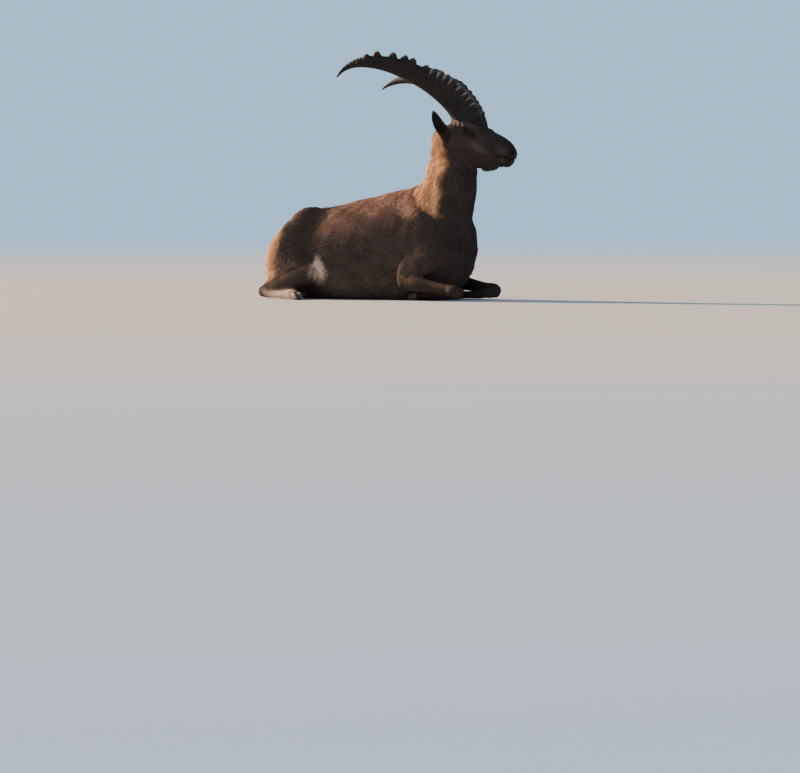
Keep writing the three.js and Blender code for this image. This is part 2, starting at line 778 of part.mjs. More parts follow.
forms.set('tail', tailForm());
for (const side of both) {
  const name = sideName(side);
  forms.set(`horn_${name}`, lighter(hornForm(side), 0.3).intersect(seatPlane(true)));
  forms.set(`ear_${name}`, earForm(side));
}

const nodes = new Map();
const faceOpenings = both.flatMap((side) => [lidOpening(side), nostrilForm(side)]);
const cleared = new Map();
const clearOf = (form, cutters) => cutters.reduce((rest, cutter) => rest.subtract(cutter), form);
for (const [name, form] of forms) {
  const openings = name === 'head' ? faceOpenings : [];
  nodes.set(name, largest(clearOf(form, [...openings, ...cleared.values()])));
  cleared.set(name, swollen(form));
}

// The jaw is parted from the head along the mouth.
const mouthGap = 0.5;
const opened = nodes.get('head');
nodes.set('head', largest(opened.subtract(jawBlock(-mouthGap))));
const jaw = opened.intersect(jawBlock(mouthGap));
const aroundJaw = cleared.get('head').subtract(jawBlock(mouthGap));
const beard = clearOf(beardForm(), [aroundJaw, cleared.get('neck')]);
nodes.set('lower_jaw', largest(jaw.add(beard)));

// The trunk is parted behind the ribs and in front of the hips.
const ribEnd = 70;
const hipStart = -175;
const between = (from, to) => block(vec(from, -floorReach, -1), vec(to, floorReach, floorReach));
const trunk = nodes.get('trunk');
nodes.delete('trunk');
nodes.set('chest', trunk.intersect(between(ribEnd + gap / 2, floorReach)));
nodes.set('belly', trunk.intersect(between(hipStart + gap / 2, ribEnd - gap / 2)));
nodes.set('rump', trunk.intersect(between(-floorReach, hipStart - gap / 2)));

// Materials

const finish = (color, roughness) => new THREE.MeshStandardMaterial({ color, roughness, metalness: 0 });
const coat = finish(0x6b4a36, 0.9);
const darkCoat = finish(0x3a2a22, 0.9);
const horn = finish(0x4a4038, 0.6);
const eye = finish(0x1b120a, 0.1);
const claw = finish(0x2a2522, 0.5);

function materialOf(name) {
  if (name.startsWith('horn')) return horn;
  if (name.startsWith('eye')) return eye;
  if (name.includes('claw')) return claw;
  return /cannon|knee|pastern|tail/.test(name) ? darkCoat : coat;
}

const ibex = new THREE.Group();
for (const [name, solid] of nodes) {
  const mesh = new THREE.Mesh(geometryOf(lighter(solid, gap / 3)), materialOf(name));
  mesh.name = name;
  ibex.add(mesh);
}

// The origin is on the floor, under the middle of the whole animal.
const extent = new THREE.Box3().setFromObject(ibex);
const middle = extent.getCenter(vec(0, 0, 0));
ibex.position.set(-middle.x, -middle.y, -extent.min.z);

export default ibex;
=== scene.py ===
"""A life-size alpine ibex, an old male lying with its head raised: skin, coat, horns, eyes and hooves.

Metres, +Z up, +X towards the head; the animal's right side is on -Y and it lies on the plane z = 0.
"""

import math

import bmesh
import bpy
import numpy as np
from mathutils import Matrix, Vector
from mathutils.bvhtree import BVHTree
from mathutils.kdtree import KDTree


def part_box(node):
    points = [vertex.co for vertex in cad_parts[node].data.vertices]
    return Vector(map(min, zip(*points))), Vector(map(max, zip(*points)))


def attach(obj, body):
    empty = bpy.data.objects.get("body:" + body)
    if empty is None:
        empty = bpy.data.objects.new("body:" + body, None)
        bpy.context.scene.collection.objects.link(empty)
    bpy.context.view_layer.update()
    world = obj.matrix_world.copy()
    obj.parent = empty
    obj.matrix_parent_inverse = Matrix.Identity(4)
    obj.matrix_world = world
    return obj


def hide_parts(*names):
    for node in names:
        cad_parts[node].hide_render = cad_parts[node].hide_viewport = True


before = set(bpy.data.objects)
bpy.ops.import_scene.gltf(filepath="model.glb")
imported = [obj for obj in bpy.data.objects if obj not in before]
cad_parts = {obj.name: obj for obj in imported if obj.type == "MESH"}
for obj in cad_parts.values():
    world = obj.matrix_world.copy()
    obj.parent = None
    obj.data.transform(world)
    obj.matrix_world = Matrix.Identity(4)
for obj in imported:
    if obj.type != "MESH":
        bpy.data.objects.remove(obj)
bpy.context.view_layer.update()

# The body's own origin: on the floor, on the middle line, 0.414 m behind the front of the chest
chest_reach = 0.414
chest_low, chest_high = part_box("chest")
body_origin = Vector((chest_high.x - chest_reach, (chest_low.y + chest_high.y) / 2, 0))

# The head's place, midway between the eyes, and its turn: to the left, a roll and nose down
head_place = body_origin + Vector((0.415, 0.015, 0.608))
head_yaw = math.radians(14)
head_roll = math.radians(-6)
head_pitch = math.radians(22)
level_head = (
    Matrix.Translation(head_place) @ Matrix.Rotation(head_yaw, 4, "Z") @ Matrix.Rotation(head_roll, 4, "X")
)
head_frame = level_head @ Matrix.Rotation(head_pitch, 4, "Y")

sides = {"right": -1, "left": 1}
rng = np.random.default_rng(11)

# Sizes of the skin's meshes
body_voxel = 0.006
head_voxel = 0.0021
coat_share = 1.0

# The level in the head's own x and z at which the head's mesh takes over from the body's
neck_cut = -0.165
neck_overlap = 0.035


# Small tools

def select_only(obj):
    bpy.ops.object.select_all(action="DESELECT")
    obj.select_set(True)
    bpy.context.view_layer.objects.active = obj


def apply_modifiers(obj):
    select_only(obj)
    for modifier in list(obj.modifiers):
        bpy.ops.object.modifier_apply(modifier=modifier.name)


def mesh_points(mesh):
    co = np.empty(len(mesh.vertices) * 3, np.float32)
    mesh.vertices.foreach_get("co", co)
    return co.reshape(-1, 3).astype(float)


def set_points(mesh, points):
    mesh.vertices.foreach_set("co", points.astype(np.float32).ravel())
    mesh.update()


def mesh_normals(mesh):
    normals = np.empty(len(mesh.vertices) * 3, np.float32)
    mesh.vertex_normals.foreach_get("vector", normals)
    return normals.reshape(-1, 3).astype(float)


def mesh_edges(mesh):
    edges = np.empty(len(mesh.edges) * 2, np.int32)
    mesh.edges.foreach_get("vertices", edges)
    return edges.reshape(-1, 2)


def mesh_triangles(mesh):
    """Corner vertices and corner loops of every triangle."""
    mesh.calc_loop_triangles()
    corners = np.empty(len(mesh.loop_triangles) * 3, np.int32)
    loops = np.empty(len(mesh.loop_triangles) * 3, np.int32)
    mesh.loop_triangles.foreach_get("vertices", corners)
    mesh.loop_triangles.foreach_get("loops", loops)
    return corners.reshape(-1, 3), loops.reshape(-1, 3)


def unit(vectors):
    return vectors / np.maximum(np.linalg.norm(vectors, axis=-1, keepdims=True), 1e-9)


def new_piece(name, points, faces, smooth=True):
    """A mesh object from arrays; faces is an array with one row of corners for each face."""
    faces = np.asarray(faces)
    mesh = bpy.data.meshes.new(name)
    mesh.vertices.add(len(points))
    mesh.vertices.foreach_set("co", np.asarray(points, np.float32).ravel())
    mesh.loops.add(faces.size)
    mesh.loops.foreach_set("vertex_index", faces.astype(np.int32).ravel())
    mesh.polygons.add(len(faces))
    mesh.polygons.foreach_set("loop_start", np.arange(0, faces.size, faces.shape[1], dtype=np.int32))
    mesh.update(calc_edges=True)
    mesh.polygons.foreach_set("use_smooth", np.full(len(faces), smooth))
    obj = bpy.data.objects.new(name, mesh)
    bpy.context.scene.collection.objects.link(obj)
    return obj


def shade_smooth(obj):
    obj.data.polygons.foreach_set("use_smooth", np.full(len(obj.data.polygons), True))


def smooth_values(values, edges, rounds, weight=1.0):
    """Values at the vertices, each moved towards the mean of its neighbours a number of times."""
    count = len(values)
    ends = np.concatenate([edges[:, 0], edges[:, 1]])
    others = np.concatenate([edges[:, 1], edges[:, 0]])
    degree = np.maximum(np.bincount(ends, minlength=count), 1)[:, None]
    values = values.reshape(count, -1).astype(float)
    weight = np.broadcast_to(np.asarray(weight, float).reshape(-1, 1), (count, 1))
    for _ in range(rounds):
        mean = np.stack([np.bincount(ends, column[others], count) for column in values.T], 1) / degree
        values = values + 0.5 * weight * (mean - values)
    return values


def smoothstep(value, low, high):
    """0 below low, 1 above high and an S between them."""
    t = np.clip((value - low) / (high - low), 0, 1)
    return t * t * (3 - 2 * t)


def bell(value, middle, half):
    """1 at the middle, falling softly towards 0 on both sides."""
    return np.exp(-((value - middle) / half) ** 2)


def soft_patch(along, up, place, half):
    """1 at a place, falling softly towards 0 beyond its half sizes."""
    return np.exp(-(((along - place[0]) / half[0]) ** 2 + ((up - place[1]) / half[1]) ** 2))


def in_frame(points, matrix):
    """Points in a turned frame's own coordinates."""
    inverse = np.array(matrix.inverted())
    return points @ inverse[:3, :3].T + inverse[:3, 3]


def from_frame(points, matrix):
    """Points given in a turned frame, in the scene's coordinates."""
    m = np.array(matrix)
    return np.asarray(points, float) @ m[:3, :3].T + m[:3, 3]


def turned(vector, matrix):
    """A way given in a turned frame, in the scene's coordinates."""
    return np.array(matrix.to_3x3() @ Vector(vector))


# Camera, floor and light

view_azimuth = math.radians(35)
view_elevation = math.radians(1.5)
view_distance = 15.0
image_width, image_height = 800, 773
focal_pixels = 4020
origin_pixel = (380, 299)
sensor_width = 36.0
floor_reach = 60.0
floor_fade = (4.0, 17.0)


def make_camera():
    """The photo's view: the body's origin falls on its own pixel."""
    back = Vector(
        (
            math.sin(view_azimuth) * math.cos(view_elevation),
            -math.cos(view_azimuth) * math.cos(view_elevation),
            math.sin(view_elevation),
        )
    )
    across = Vector((math.cos(view_azimuth), math.sin(view_azimuth), 0))
    up = across.cross(-back)
    aside = (image_width / 2 - origin_pixel[0]) / focal_pixels
    below = (image_height / 2 - origin_pixel[1]) / focal_pixels
    forward = -back + across * aside - up * below
    data = bpy.data.cameras.new("camera")
    data.sensor_width = sensor_width
    data.lens = focal_pixels / image_width * sensor_width
    data.clip_end = 100
    camera = bpy.data.objects.new("camera", data)
    camera.location = body_origin + back * view_distance
    camera.rotation_euler = forward.to_track_quat("-Z", "Y").to_euler()
    bpy.context.scene.collection.objects.link(camera)
    bpy.context.scene.camera = camera


def distant_light(name, way, spread_angle, strength, colour):
    """Light that comes from far away in the direction given; a wide angle makes it soft."""
    data = bpy.data.lights.new(name, "SUN")
    data.angle = math.radians(spread_angle)
    data.energy = strength
    data.color = colour
    lamp = bpy.data.objects.new(name, data)
    lamp.rotation_euler = Vector(way).to_track_quat("Z", "Y").to_euler()
    bpy.context.scene.collection.objects.link(lamp)


def make_studio():
    """A pale floor, a pale room round it, warm light from low behind the animal and a soft fill."""
    corners = [(x * floor_reach, y * floor_reach, 0) for x, y in ((-1, -1), (1, -1), (1, 1), (-1, 1))]
    floor = new_piece("floor", corners, [(0, 1, 2, 3)], smooth=False)
    floor.data.materials.append(floor_material())

    distant_light("low warm light", (-0.94, -0.12, 0.40), 5, 11.0, (1.0, 0.64, 0.38))
    distant_light("soft fill", (0.35, -0.95, 0.9), 50, 0.60, (1.0, 0.97, 0.95))
    world = bpy.data.worlds.new("studio")
    world.use_nodes = True
    tree = world.node_tree
    room = tree.nodes["Background"]
    room.inputs["Color"].default_value = (0.66, 0.82, 1.0, 1)
    room.inputs["Strength"].default_value = 0.42
    seen = tree.nodes.new("ShaderNodeBackground")
    seen.inputs["Color"].default_value = (0.47, 0.76, 1.05, 1)
    seen.inputs["Strength"].default_value = 1.0
    mix = tree.nodes.new("ShaderNodeMixShader")
    tree.links.new(tree.nodes.new("ShaderNodeLightPath").outputs["Is Camera Ray"], mix.inputs["Fac"])
    tree.links.new(room.outputs["Background"], mix.inputs[1])
    tree.links.new(seen.outputs["Background"], mix.inputs[2])
    tree.links.new(mix.outputs["Shader"], tree.nodes["World Output"].inputs["Surface"])
    bpy.context.scene.world = world


def floor_material():
    """Pale and matt; far out it thins into the pale room, so no edge shows behind the animal."""
    material, tree, shader = new_surface("pale floor")
    shader.inputs["Base Color"].default_value = (0.50, 0.56, 0.63, 1)
    shader.inputs["Roughness"].default_value = 0.95
    far = tree.nodes.new("ShaderNodeVectorMath")
    far.operation = "LENGTH"
    tree.links.new(object_place(tree), far.inputs[0])
    tree.links.new(range_node(tree, far.outputs["Value"], *floor_fade, 1.0, 0.0), shader.inputs["Alpha"])
    return material


# Materials

# The skin has no hair of its own, so it takes one place along the hair and one tone all over; there the
# painted shade of the roots darkens it
skin_along = 0.35
skin_tone = 0.4


def new_group(name, inputs, outputs):
    """A shader node group; inputs and outputs are pairs of a name and a socket type."""
    group = bpy.data.node_groups.new(name, "ShaderNodeTree")
    for socket, kind in inputs:
        group.interface.new_socket(socket, in_out="INPUT", socket_type=kind)
    for socket, kind in outputs:
        group.interface.new_socket(socket, in_out="OUTPUT", socket_type=kind)
    return group, group.nodes.new("NodeGroupInput"), group.nodes.new("NodeGroupOutput")


def new_surface(name):
    """A material, its node tree and its shader."""
    material = bpy.data.materials.new(name)
    material.use_nodes = True
    return material, material.node_tree, material.node_tree.nodes["Principled BSDF"]


def object_place(tree):
    return tree.nodes.new("ShaderNodeTexCoord").outputs["Object"]


def noise_node(tree, scale, detail=4.0, roughness=0.6):
    node = tree.nodes.new("ShaderNodeTexNoise")
    node.inputs["Scale"].default_value = scale
    node.inputs["Detail"].default_value = detail
    node.inputs["Roughness"].default_value = roughness
    return node


def grain(tree, scale, detail=4.0):
    """Noise that follows the place on the piece."""
    node = noise_node(tree, scale, detail)
    tree.links.new(object_place(tree), node.inputs["Vector"])
    return node.outputs["Fac"]


def math_node(tree, operation, a, b):
    node = tree.nodes.new("ShaderNodeMath")
    node.operation = operation
    for socket, value in zip(node.inputs, (a, b)):
        if isinstance(value, (int, float)):
            socket.default_value = value
        else:
            tree.links.new(value, socket)
    return node.outputs[0]


def range_node(tree, value, from_low, from_high, to_low, to_high):
    node = tree.nodes.new("ShaderNodeMapRange")
    tree.links.new(value, node.inputs["Value"])
    for name, number in (
        ("From Min", from_low), ("From Max", from_high), ("To Min", to_low), ("To Max", to_high)
    ):
        node.inputs[name].default_value = number
    return node.outputs["Result"]


def mix_colour(tree, blend, factor, a, b):
    node = tree.nodes.new("ShaderNodeMix")
    node.data_type = "RGBA"
    node.blend_type = blend
    for socket, value in ((node.inputs["Factor"], factor), (node.inputs["A"], a), (node.inputs["B"], b)):
        if isinstance(value, tuple):
            socket.default_value = (*value, 1)
        elif isinstance(value, (int, float)):
            socket.default_value = value
        else:
            tree.links.new(value, socket)
    return node.outputs["Result"]


def add_bump(tree, shader, height, strength, distance):
    bump = tree.nodes.new("ShaderNodeBump")
    bump.inputs["Strength"].default_value = strength
    bump.inputs["Distance"].default_value = distance
    tree.links.new(height, bump.inputs["Height"])
    tree.links.new(bump.outputs["Normal"], shader.inputs["Normal"])


def attribute_socket(tree, name, output):
    node = tree.nodes.new("ShaderNodeAttribute")
    node.attribute_name = name
    return node.outputs[output]


def hair_colour_group():
    """The coat's colour: its markings and painted light, mottled in patches and hair by hair, with painted
    shade darkening it towards the roots.
    """
    group, given, out = new_group(
        "hair colour",
        [("Markings_and_light", "NodeSocketColor"), ("Along", "NodeSocketFloat"), ("Tone", "NodeSocketFloat")],
        [("Color", "NodeSocketColor"), ("Height", "NodeSocketFloat")],
    )
    hairs = grain(group, 420.0, 3.0)
    patchy = range_node(group, grain(group, 14.0, 5.0), 0.3, 0.7, 0.78, 1.22)
    fine = range_node(group, hairs, 0.25, 0.75, 0.75, 1.25)
    tone = range_node(group, given.outputs["Tone"], 0, 1, 0.72, 1.32)
    # Painted shade: each tuft darker towards its root
    deep = range_node(group, given.outputs["Along"], 0, 0.8, 0.5, 1.12)
    mottle = math_node(group, "MULTIPLY", patchy, fine)
    shade = math_node(group, "MULTIPLY", mottle, math_node(group, "MULTIPLY", tone, deep))
    shaded = group.nodes.new("ShaderNodeVectorMath")
    shaded.operation = "SCALE"
    group.links.new(given.outputs["Markings_and_light"], shaded.inputs[0])
    group.links.new(shade, shaded.inputs["Scale"])
    group.links.new(shaded.outputs["Vector"], out.inputs["Color"])
    group.links.new(hairs, out.inputs["Height"])
    return group


def hair_material(name, group, roughness):
    """The finish that skin and coat share, with the colour group placed in it."""
    material, tree, shader = new_surface(name)
    hair = tree.nodes.new("ShaderNodeGroup")
    hair.node_tree = group
    tree.links.new(attribute_socket(tree, "markings_and_light", "Color"), hair.inputs["Markings_and_light"])
    tree.links.new(hair.outputs["Color"], shader.inputs["Base Color"])
    shader.inputs["Roughness"].default_value = roughness
    shader.inputs["Specular IOR Level"].default_value = 0.25
    return material, tree, shader, hair


def coat_material(group):
    """Tufts, each with its own tone, with painted shade darkening them towards the root."""
    material, tree, _, hair = hair_material("coat", group, 0.72)
    tree.links.new(attribute_socket(tree, "along", "Fac"), hair.inputs["Along"])
    tree.links.new(attribute_socket(tree, "tone", "Fac"), hair.inputs["Tone"])
    return material


def skin_material(group):
    """Short flat hair over the skin, as bump."""
    material, tree, shader, hair = hair_material("short hair over skin", group, 0.85)
    hair.inputs["Along"].default_value = skin_along
    hair.inputs["Tone"].default_value = skin_tone
    add_bump(tree, shader, hair.outputs["Height"], 0.6, 0.0015)
    return material


def horn_material():
    """Grey-brown keratin: growth lines across it, streaks along it, worn pale on the knobs' tops, and
    painted sunlight in slits on the knobs' far faces.
    """
    material, tree, shader = new_surface("horn")
    along = attribute_socket(tree, "along", "Fac")
    worn = attribute_socket(tree, "worn", "Fac")
    mottle = grain(tree, 22.0, 6.0)
    fibres = grain(tree, 260.0)
    warped = math_node(tree, "ADD", along, math_node(tree, "MULTIPLY", mottle, 0.006))
    lines = noise_node(tree, 1.0, 6.0, 0.7)
    lines.noise_dimensions = "1D"
    tree.links.new(math_node(tree, "MULTIPLY", warped, 330.0), lines.inputs["W"])
    patchy = range_node(tree, mottle, 0.3, 0.7, 0.0, 1.0)
    base = mix_colour(tree, "MIX", patchy, (0.011, 0.009, 0.0085), (0.024, 0.019, 0.017))
    line_share = range_node(tree, lines.outputs["Fac"], 0.35, 0.65, 0, 1)
    line_colour = mix_colour(tree, "MIX", line_share, (0.45, 0.42, 0.40), (1.25, 1.2, 1.15))
    lined = mix_colour(tree, "MULTIPLY", 0.75, base, line_colour)
    # Pale wear on the knobs, and painted sunlight in slits on their far faces
    colour = mix_colour(tree, "MIX", math_node(tree, "MULTIPLY", worn, 0.9), lined, (0.34, 0.28, 0.24))
    tree.links.new(colour, shader.inputs["Base Color"])
    tree.links.new(range_node(tree, fibres, 0.3, 0.7, 0.45, 0.68), shader.inputs["Roughness"])
    shader.inputs["Specular IOR Level"].default_value = 0.25
    height = math_node(tree, "ADD", lines.outputs["Fac"], math_node(tree, "MULTIPLY", fibres, 0.35))
    add_bump(tree, shader, height, 0.7, 0.0016)
    return material


def hoof_material():
    material, tree, shader = new_surface("hoof")
    layers = grain(tree, 180.0, 5.0)
    colour = mix_colour(tree, "MIX", layers, (0.045, 0.038, 0.034), (0.130, 0.110, 0.094))
    tree.links.new(colour, shader.inputs["Base Color"])
    shader.inputs["Roughness"].default_value = 0.5
    add_bump(tree, shader, layers, 0.5, 0.001)
    return material


def lid_material():
    """Dark, slightly moist bare skin of the lids."""
    material, tree, shader = new_surface("bare skin")
    pores = tree.nodes.new("ShaderNodeTexVoronoi")
    pores.inputs["Scale"].default_value = 520.0
    tree.links.new(object_place(tree), pores.inputs["Vector"])
    colour = mix_colour(tree, "MIX", pores.outputs["Distance"], (0.030, 0.024, 0.022), (0.012, 0.010, 0.010))
    tree.links.new(colour, shader.inputs["Base Color"])
    shader.inputs["Roughness"].default_value = 0.6
    shader.inputs["Specular IOR Level"].default_value = 0.3
    add_bump(tree, shader, pores.outputs["Distance"], 0.4, 0.0006)
    return material


def eye_material():
    """A dark amber iris round a wide level pupil, from values kept on the ball."""
    material, tree, shader = new_surface("eye")
    amber = mix_colour(tree, "MIX", grain(tree, 300.0), (0.004, 0.0025, 0.002), (0.012, 0.007, 0.004))
    rim = mix_colour(tree, "MIX", attribute_socket(tree, "iris", "Fac"), amber, (0.012, 0.008, 0.006))
    pupil = attribute_socket(tree, "pupil", "Fac")
    colour = mix_colour(tree, "MIX", pupil, rim, (0.002, 0.002, 0.003))
    tree.links.new(colour, shader.inputs["Base Color"])
    shader.inputs["Roughness"].default_value = 0.09
    shader.inputs["Specular IOR Level"].default_value = 0.20
    return material


# Flesh: which way the coat lies and how long it is on each piece of the body

class Coat:
    """The coat of one region.

    lie is the way its hair points; length and width are a tuft's, and depth is how far the skin
    lies under the outside of the flesh, in metres; density is in tufts a square centimetre and lift
    in degrees; rounds says how often the skin is smoothed there.
    """

    def __init__(self, lie, length, depth, width, density, lift, rounds):
        self.lie = np.array(lie, float) / np.linalg.norm(lie)
        self.length = length
        self.depth = depth
        self.width = width
        self.density = density
        self.lift = lift
        self.rounds = rounds


def region_coats():
    """One Coat for every node of flesh."""
    to_nape = turned((-1, 0, -0.1), head_frame)
    coats = {
        "head": Coat(to_nape, 0.0095, 0.0020, 0.0015, 44, 14, 6),
        "lower_jaw": Coat(to_nape, 0.010, 0.0020, 0.0016, 42, 15, 6),
        "neck": Coat((-0.42, 0, -1), 0.031, 0.0075, 0.0029, 19, 23, 60),
        "chest": Coat((-1, 0, -0.45), 0.025, 0.0060, 0.0030, 15, 22, 60),
        "belly": Coat((-1, 0, -0.35), 0.023, 0.0060, 0.0031, 14, 21, 60),
        "rump": Coat((-1, 0, -0.5), 0.023, 0.0060, 0.0030, 15, 22, 60),
        "tail": Coat((-0.3, 0, -1), 0.045, 0.0015, 0.0034, 30, 24, 2),
    }
    for name, side in sides.items():
        ear_way = turned((-0.62, side * 0.5, 0.62), head_frame)
        coats[f"ear_{name}"] = Coat(ear_way, 0.008, 0.0003, 0.0014, 36, 13, 2)
        coats[f"thigh_{name}"] = Coat((-0.35, 0, -1), 0.023, 0.0060, 0.0030, 15, 22, 50)
        coats[f"shank_{name}"] = Coat((-1, 0, -0.45), 0.014, 0.0036, 0.0023, 22, 14, 14)
        coats[f"hind_cannon_{name}"] = Coat((1, 0, -0.1), 0.009, 0.0018, 0.0018, 30, 11, 6)
        coats[f"hind_pastern_{name}"] = Coat((0.6, side * 0.6, -0.1), 0.009, 0.0016, 0.0022, 24, 16, 5)
        coats[f"shoulder_{name}"] = Coat((-0.2, 0, -1), 0.023, 0.0060, 0.0030, 15, 22, 50)
        coats[f"upper_arm_{name}"] = Coat((-1, 0, -0.8), 0.020, 0.0050, 0.0032, 14, 21, 30)
        coats[f"forearm_{name}"] = Coat((1, 0, -0.35), 0.0105, 0.0024, 0.0018, 32, 11, 12)
        coats[f"knee_{name}"] = Coat((0.7, 0, -0.7), 0.0085, 0.0020, 0.0017, 36, 11, 6)
        coats[f"fore_cannon_{name}"] = Coat((-1, 0, 0), 0.010, 0.0020, 0.0022, 24, 16, 6)
        coats[f"fore_pastern_{name}"] = Coat((-1, 0, 0), 0.009, 0.0016, 0.0022, 24, 16, 5)
    return coats


region_coat = region_coats()
flesh_names = list(region_coat)


def merged_copy(name, swell=0.0):
    """A copy of a node's mesh with its corners merged, grown a little so that it meets its neighbours."""
    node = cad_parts[name]
    copy = bpy.data.objects.new(f"copy_{name}", node.data.copy())
    bpy.context.scene.collection.objects.link(copy)
    select_only(copy)
    bpy.ops.object.mode_set(mode="EDIT")
    bpy.ops.mesh.select_all(action="SELECT")
    bpy.ops.mesh.remove_doubles(threshold=1e-5)
    bpy.ops.object.mode_set(mode="OBJECT")
    if swell:
        points = mesh_points(copy.data)
        set_points(copy.data, points + swell * mesh_normals(copy.data))
    return copy


def cut_away(obj, point, normal):
    """Removes what lies beyond a plane and closes the cut."""
    select_only(obj)
    bpy.ops.object.mode_set(mode="EDIT")
    bpy.ops.mesh.select_all(action="SELECT")
    bpy.ops.mesh.bisect(plane_co=point, plane_no=normal, use_fill=True, clear_outer=True)
    bpy.ops.object.mode_set(mode="OBJECT")


def join_all(objects, name):
    """One object from several, under a new name."""
    bpy.ops.object.select_all(action="DESELECT")
    for obj in objects:
        obj.select_set(True)
    bpy.context.view_layer.objects.active = objects[0]
    bpy.ops.object.join()
    objects[0].name = name
    return objects[0]


def voxel_surface(obj, size):
    """One closed mesh of even faces over all the parts of an object."""
    modifier = obj.modifiers.new("remesh", "REMESH")
    modifier.mode = "VOXEL"
    modifier.voxel_size = size
    apply_modifiers(obj)


# The flesh of the tail, without its locks: its root, the way it hangs and its length
tail_root = body_origin + Vector((-0.436, -0.002, 0.222))
tail_way = Vector((-0.34, -0.06, -0.94)).normalized()
tail_core = 0.082

# The under edge of the jaw without its beard, in the head's own frame, from back to front;
# the chin, from its start forwards, keeps its whole shape
beard_line = (Vector((0.075, 0, -0.1035)), Vector((0.13, 0, -0.0725)))
chin_start = 0.140
chin_overlap = 0.002

# How much the nodes of flesh grow, so that neighbours meet
flesh_swell = 0.0006


def beardless_jaw(jaw, chin):
    """Cuts one copy of the jaw along its under edge and leaves only the chin of the other."""
    ahead = head_frame.to_3x3() @ Vector((1, 0, 0))
    cut_away(chin, head_frame @ Vector((chin_start, 0, 0)), -ahead)
    cut_away(jaw, head_frame @ Vector((chin_start + chin_overlap, 0, 0)), ahead)
    back, front = (head_frame @ p for p in beard_line)
    down = (front - back).normalized().cross(head_frame.to_3x3() @ Vector((0, 1, 0)))
    cut_away(jaw, back, down if down.z < 0 else -down)


def flesh_copy(names, name, voxel):
    """One closed surface over some nodes of flesh, without their locks."""
    copies = []
    for node in names:
        copy = merged_copy(node, flesh_swell)
        if node == "tail":
            cut_away(copy, tail_root + tail_way * tail_core, tail_way)
        if node == "lower_jaw":
            chin = merged_copy(node, flesh_swell)
            beardless_jaw(copy, chin)
            copies.append(chin)
        copies.append(copy)
    whole = join_all(copies, name)
    voxel_surface(whole, voxel)
    return whole


def region_tree():
    """A search tree over all nodes of flesh and the region of each of its triangles."""
    points, faces, regions = [], [], []
    for index, name in enumerate(flesh_names):
        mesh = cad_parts[name].data
        corners, _ = mesh_triangles(mesh)
        faces.append(corners + sum(len(p) for p in points))
        points.append(mesh_points(mesh))
        regions.extend([index] * len(corners))
    tree = BVHTree.FromPolygons(np.vstack(points).tolist(), np.vstack(faces).tolist())
    return tree, np.array(regions)


def regions_of(points, tree, regions):
    """The region of flesh nearest to each point."""
    found = (tree.find_nearest(Vector(p))[2] for p in points)
    return regions[np.fromiter(found, int, len(points))]


# Lids, nostrils, mouth and folds in the skin of the head, in its own frame

eye_centre = np.array((-0.003, 0.046, 0.0025))
eye_radius = 0.0183
mouth_corner = (0.119, -0.038)
mouth_rise = 0.178
nostril_place = np.array((0.1705, 0.0225, -0.0065))
nostril_way = (0.75, 0.3, 0.6)

# How deep the mouth and the nostrils are and how high the lips and the nostrils' rims stand;
# the depth of the fold over the eye, the bag under it and the tear corner
mouth_depth = 0.0034
lip_height = 0.0009
nostril_depth = 0.006
nostril_rim = 0.0016
fold_depth = 0.0014
bag_depth = 0.0010
tear_depth = 0.0014


def mouth_distance(local):
    """Distance from the line of the mouth, which runs round the muzzle from corner to corner."""
    ahead = local[:, 0] - mouth_corner[0]
    drop = 0.003 * smoothstep(-ahead, -0.020, 0.0)
    level = np.abs(local[:, 2] - (mouth_corner[1] + mouth_rise * ahead - drop))
    behind = np.maximum(-ahead, 0)
    return np.hypot(level, behind)


# Soft forms on both sides of the face: place along and up, width, height and how far each is raised
face_forms = (
    (0.012, -0.066, 0.034, 0.030, 0.0032),
    (0.100, -0.004, 0.014, 0.020, -0.0044),
    (0.050, -0.037, 0.044, 0.0085, 0.0032),
    (-0.002, 0.0265, 0.020, 0.0060, 0.0034),
    (-0.042, 0.002, 0.016, 0.015, -0.0034),
    (0.140, -0.012, 0.018, 0.012, 0.0032),
    (0.115, -0.028, 0.009, 0.010, -0.0018),
    (0.158, -0.047, 0.018, 0.008, 0.0018),
    (0.070, -0.062, 0.022, 0.014, -0.0024),
)


def carve_head(points, normals):
    """Moves points of the head's skin for the mouth, the nostrils and the folds round the eyes."""
    local = in_frame(points, head_frame)
    from_mouth = mouth_distance(local)
    push = lip_height * bell(from_mouth, 0.0062, 0.0034) - mouth_depth * bell(from_mouth, 0, 0.0024)
    for x, z, wide, high, lift in face_forms:
        form = soft_patch(local[:, 0], local[:, 2], (x, z), (wide, high))
        push += lift * form * smoothstep(np.abs(local[:, 1]), 0.012, 0.03)
    for side in sides.values():
        away = local - nostril_place * (1, side, 1)
        slot = unit(np.array(nostril_way) * (1, side, 1))
        slant = away @ slot
        level = np.linalg.norm(away - np.outer(slant, slot), axis=1)
        push -= nostril_depth * soft_patch(slant, level, (0, 0), (0.0075, 0.0036))
        push += nostril_rim * bell(np.hypot(slant / 1.6, level), 0.0072, 0.003)
        eye = local - eye_centre * (1, side, 1)
        round_eye = np.hypot(eye[:, 0], eye[:, 2] * 1.25)
        outside = smoothstep(side * local[:, 1], 0.03, 0.045)
        fold = bell(round_eye, 0.031, 0.0028) * smoothstep(eye[:, 2], -0.02, 0.012)
        bag = bell(round_eye, 0.030, 0.003) * smoothstep(-eye[:, 2], 0.0, 0.014)
        push -= outside * (fold_depth * fold + bag_depth * bag)
        tear = np.hypot(eye[:, 0] - 0.026, eye[:, 2] + 0.008)
        push -= outside * tear_depth * bell(tear, 0, 0.006)
    return points + normals * push[:, None]


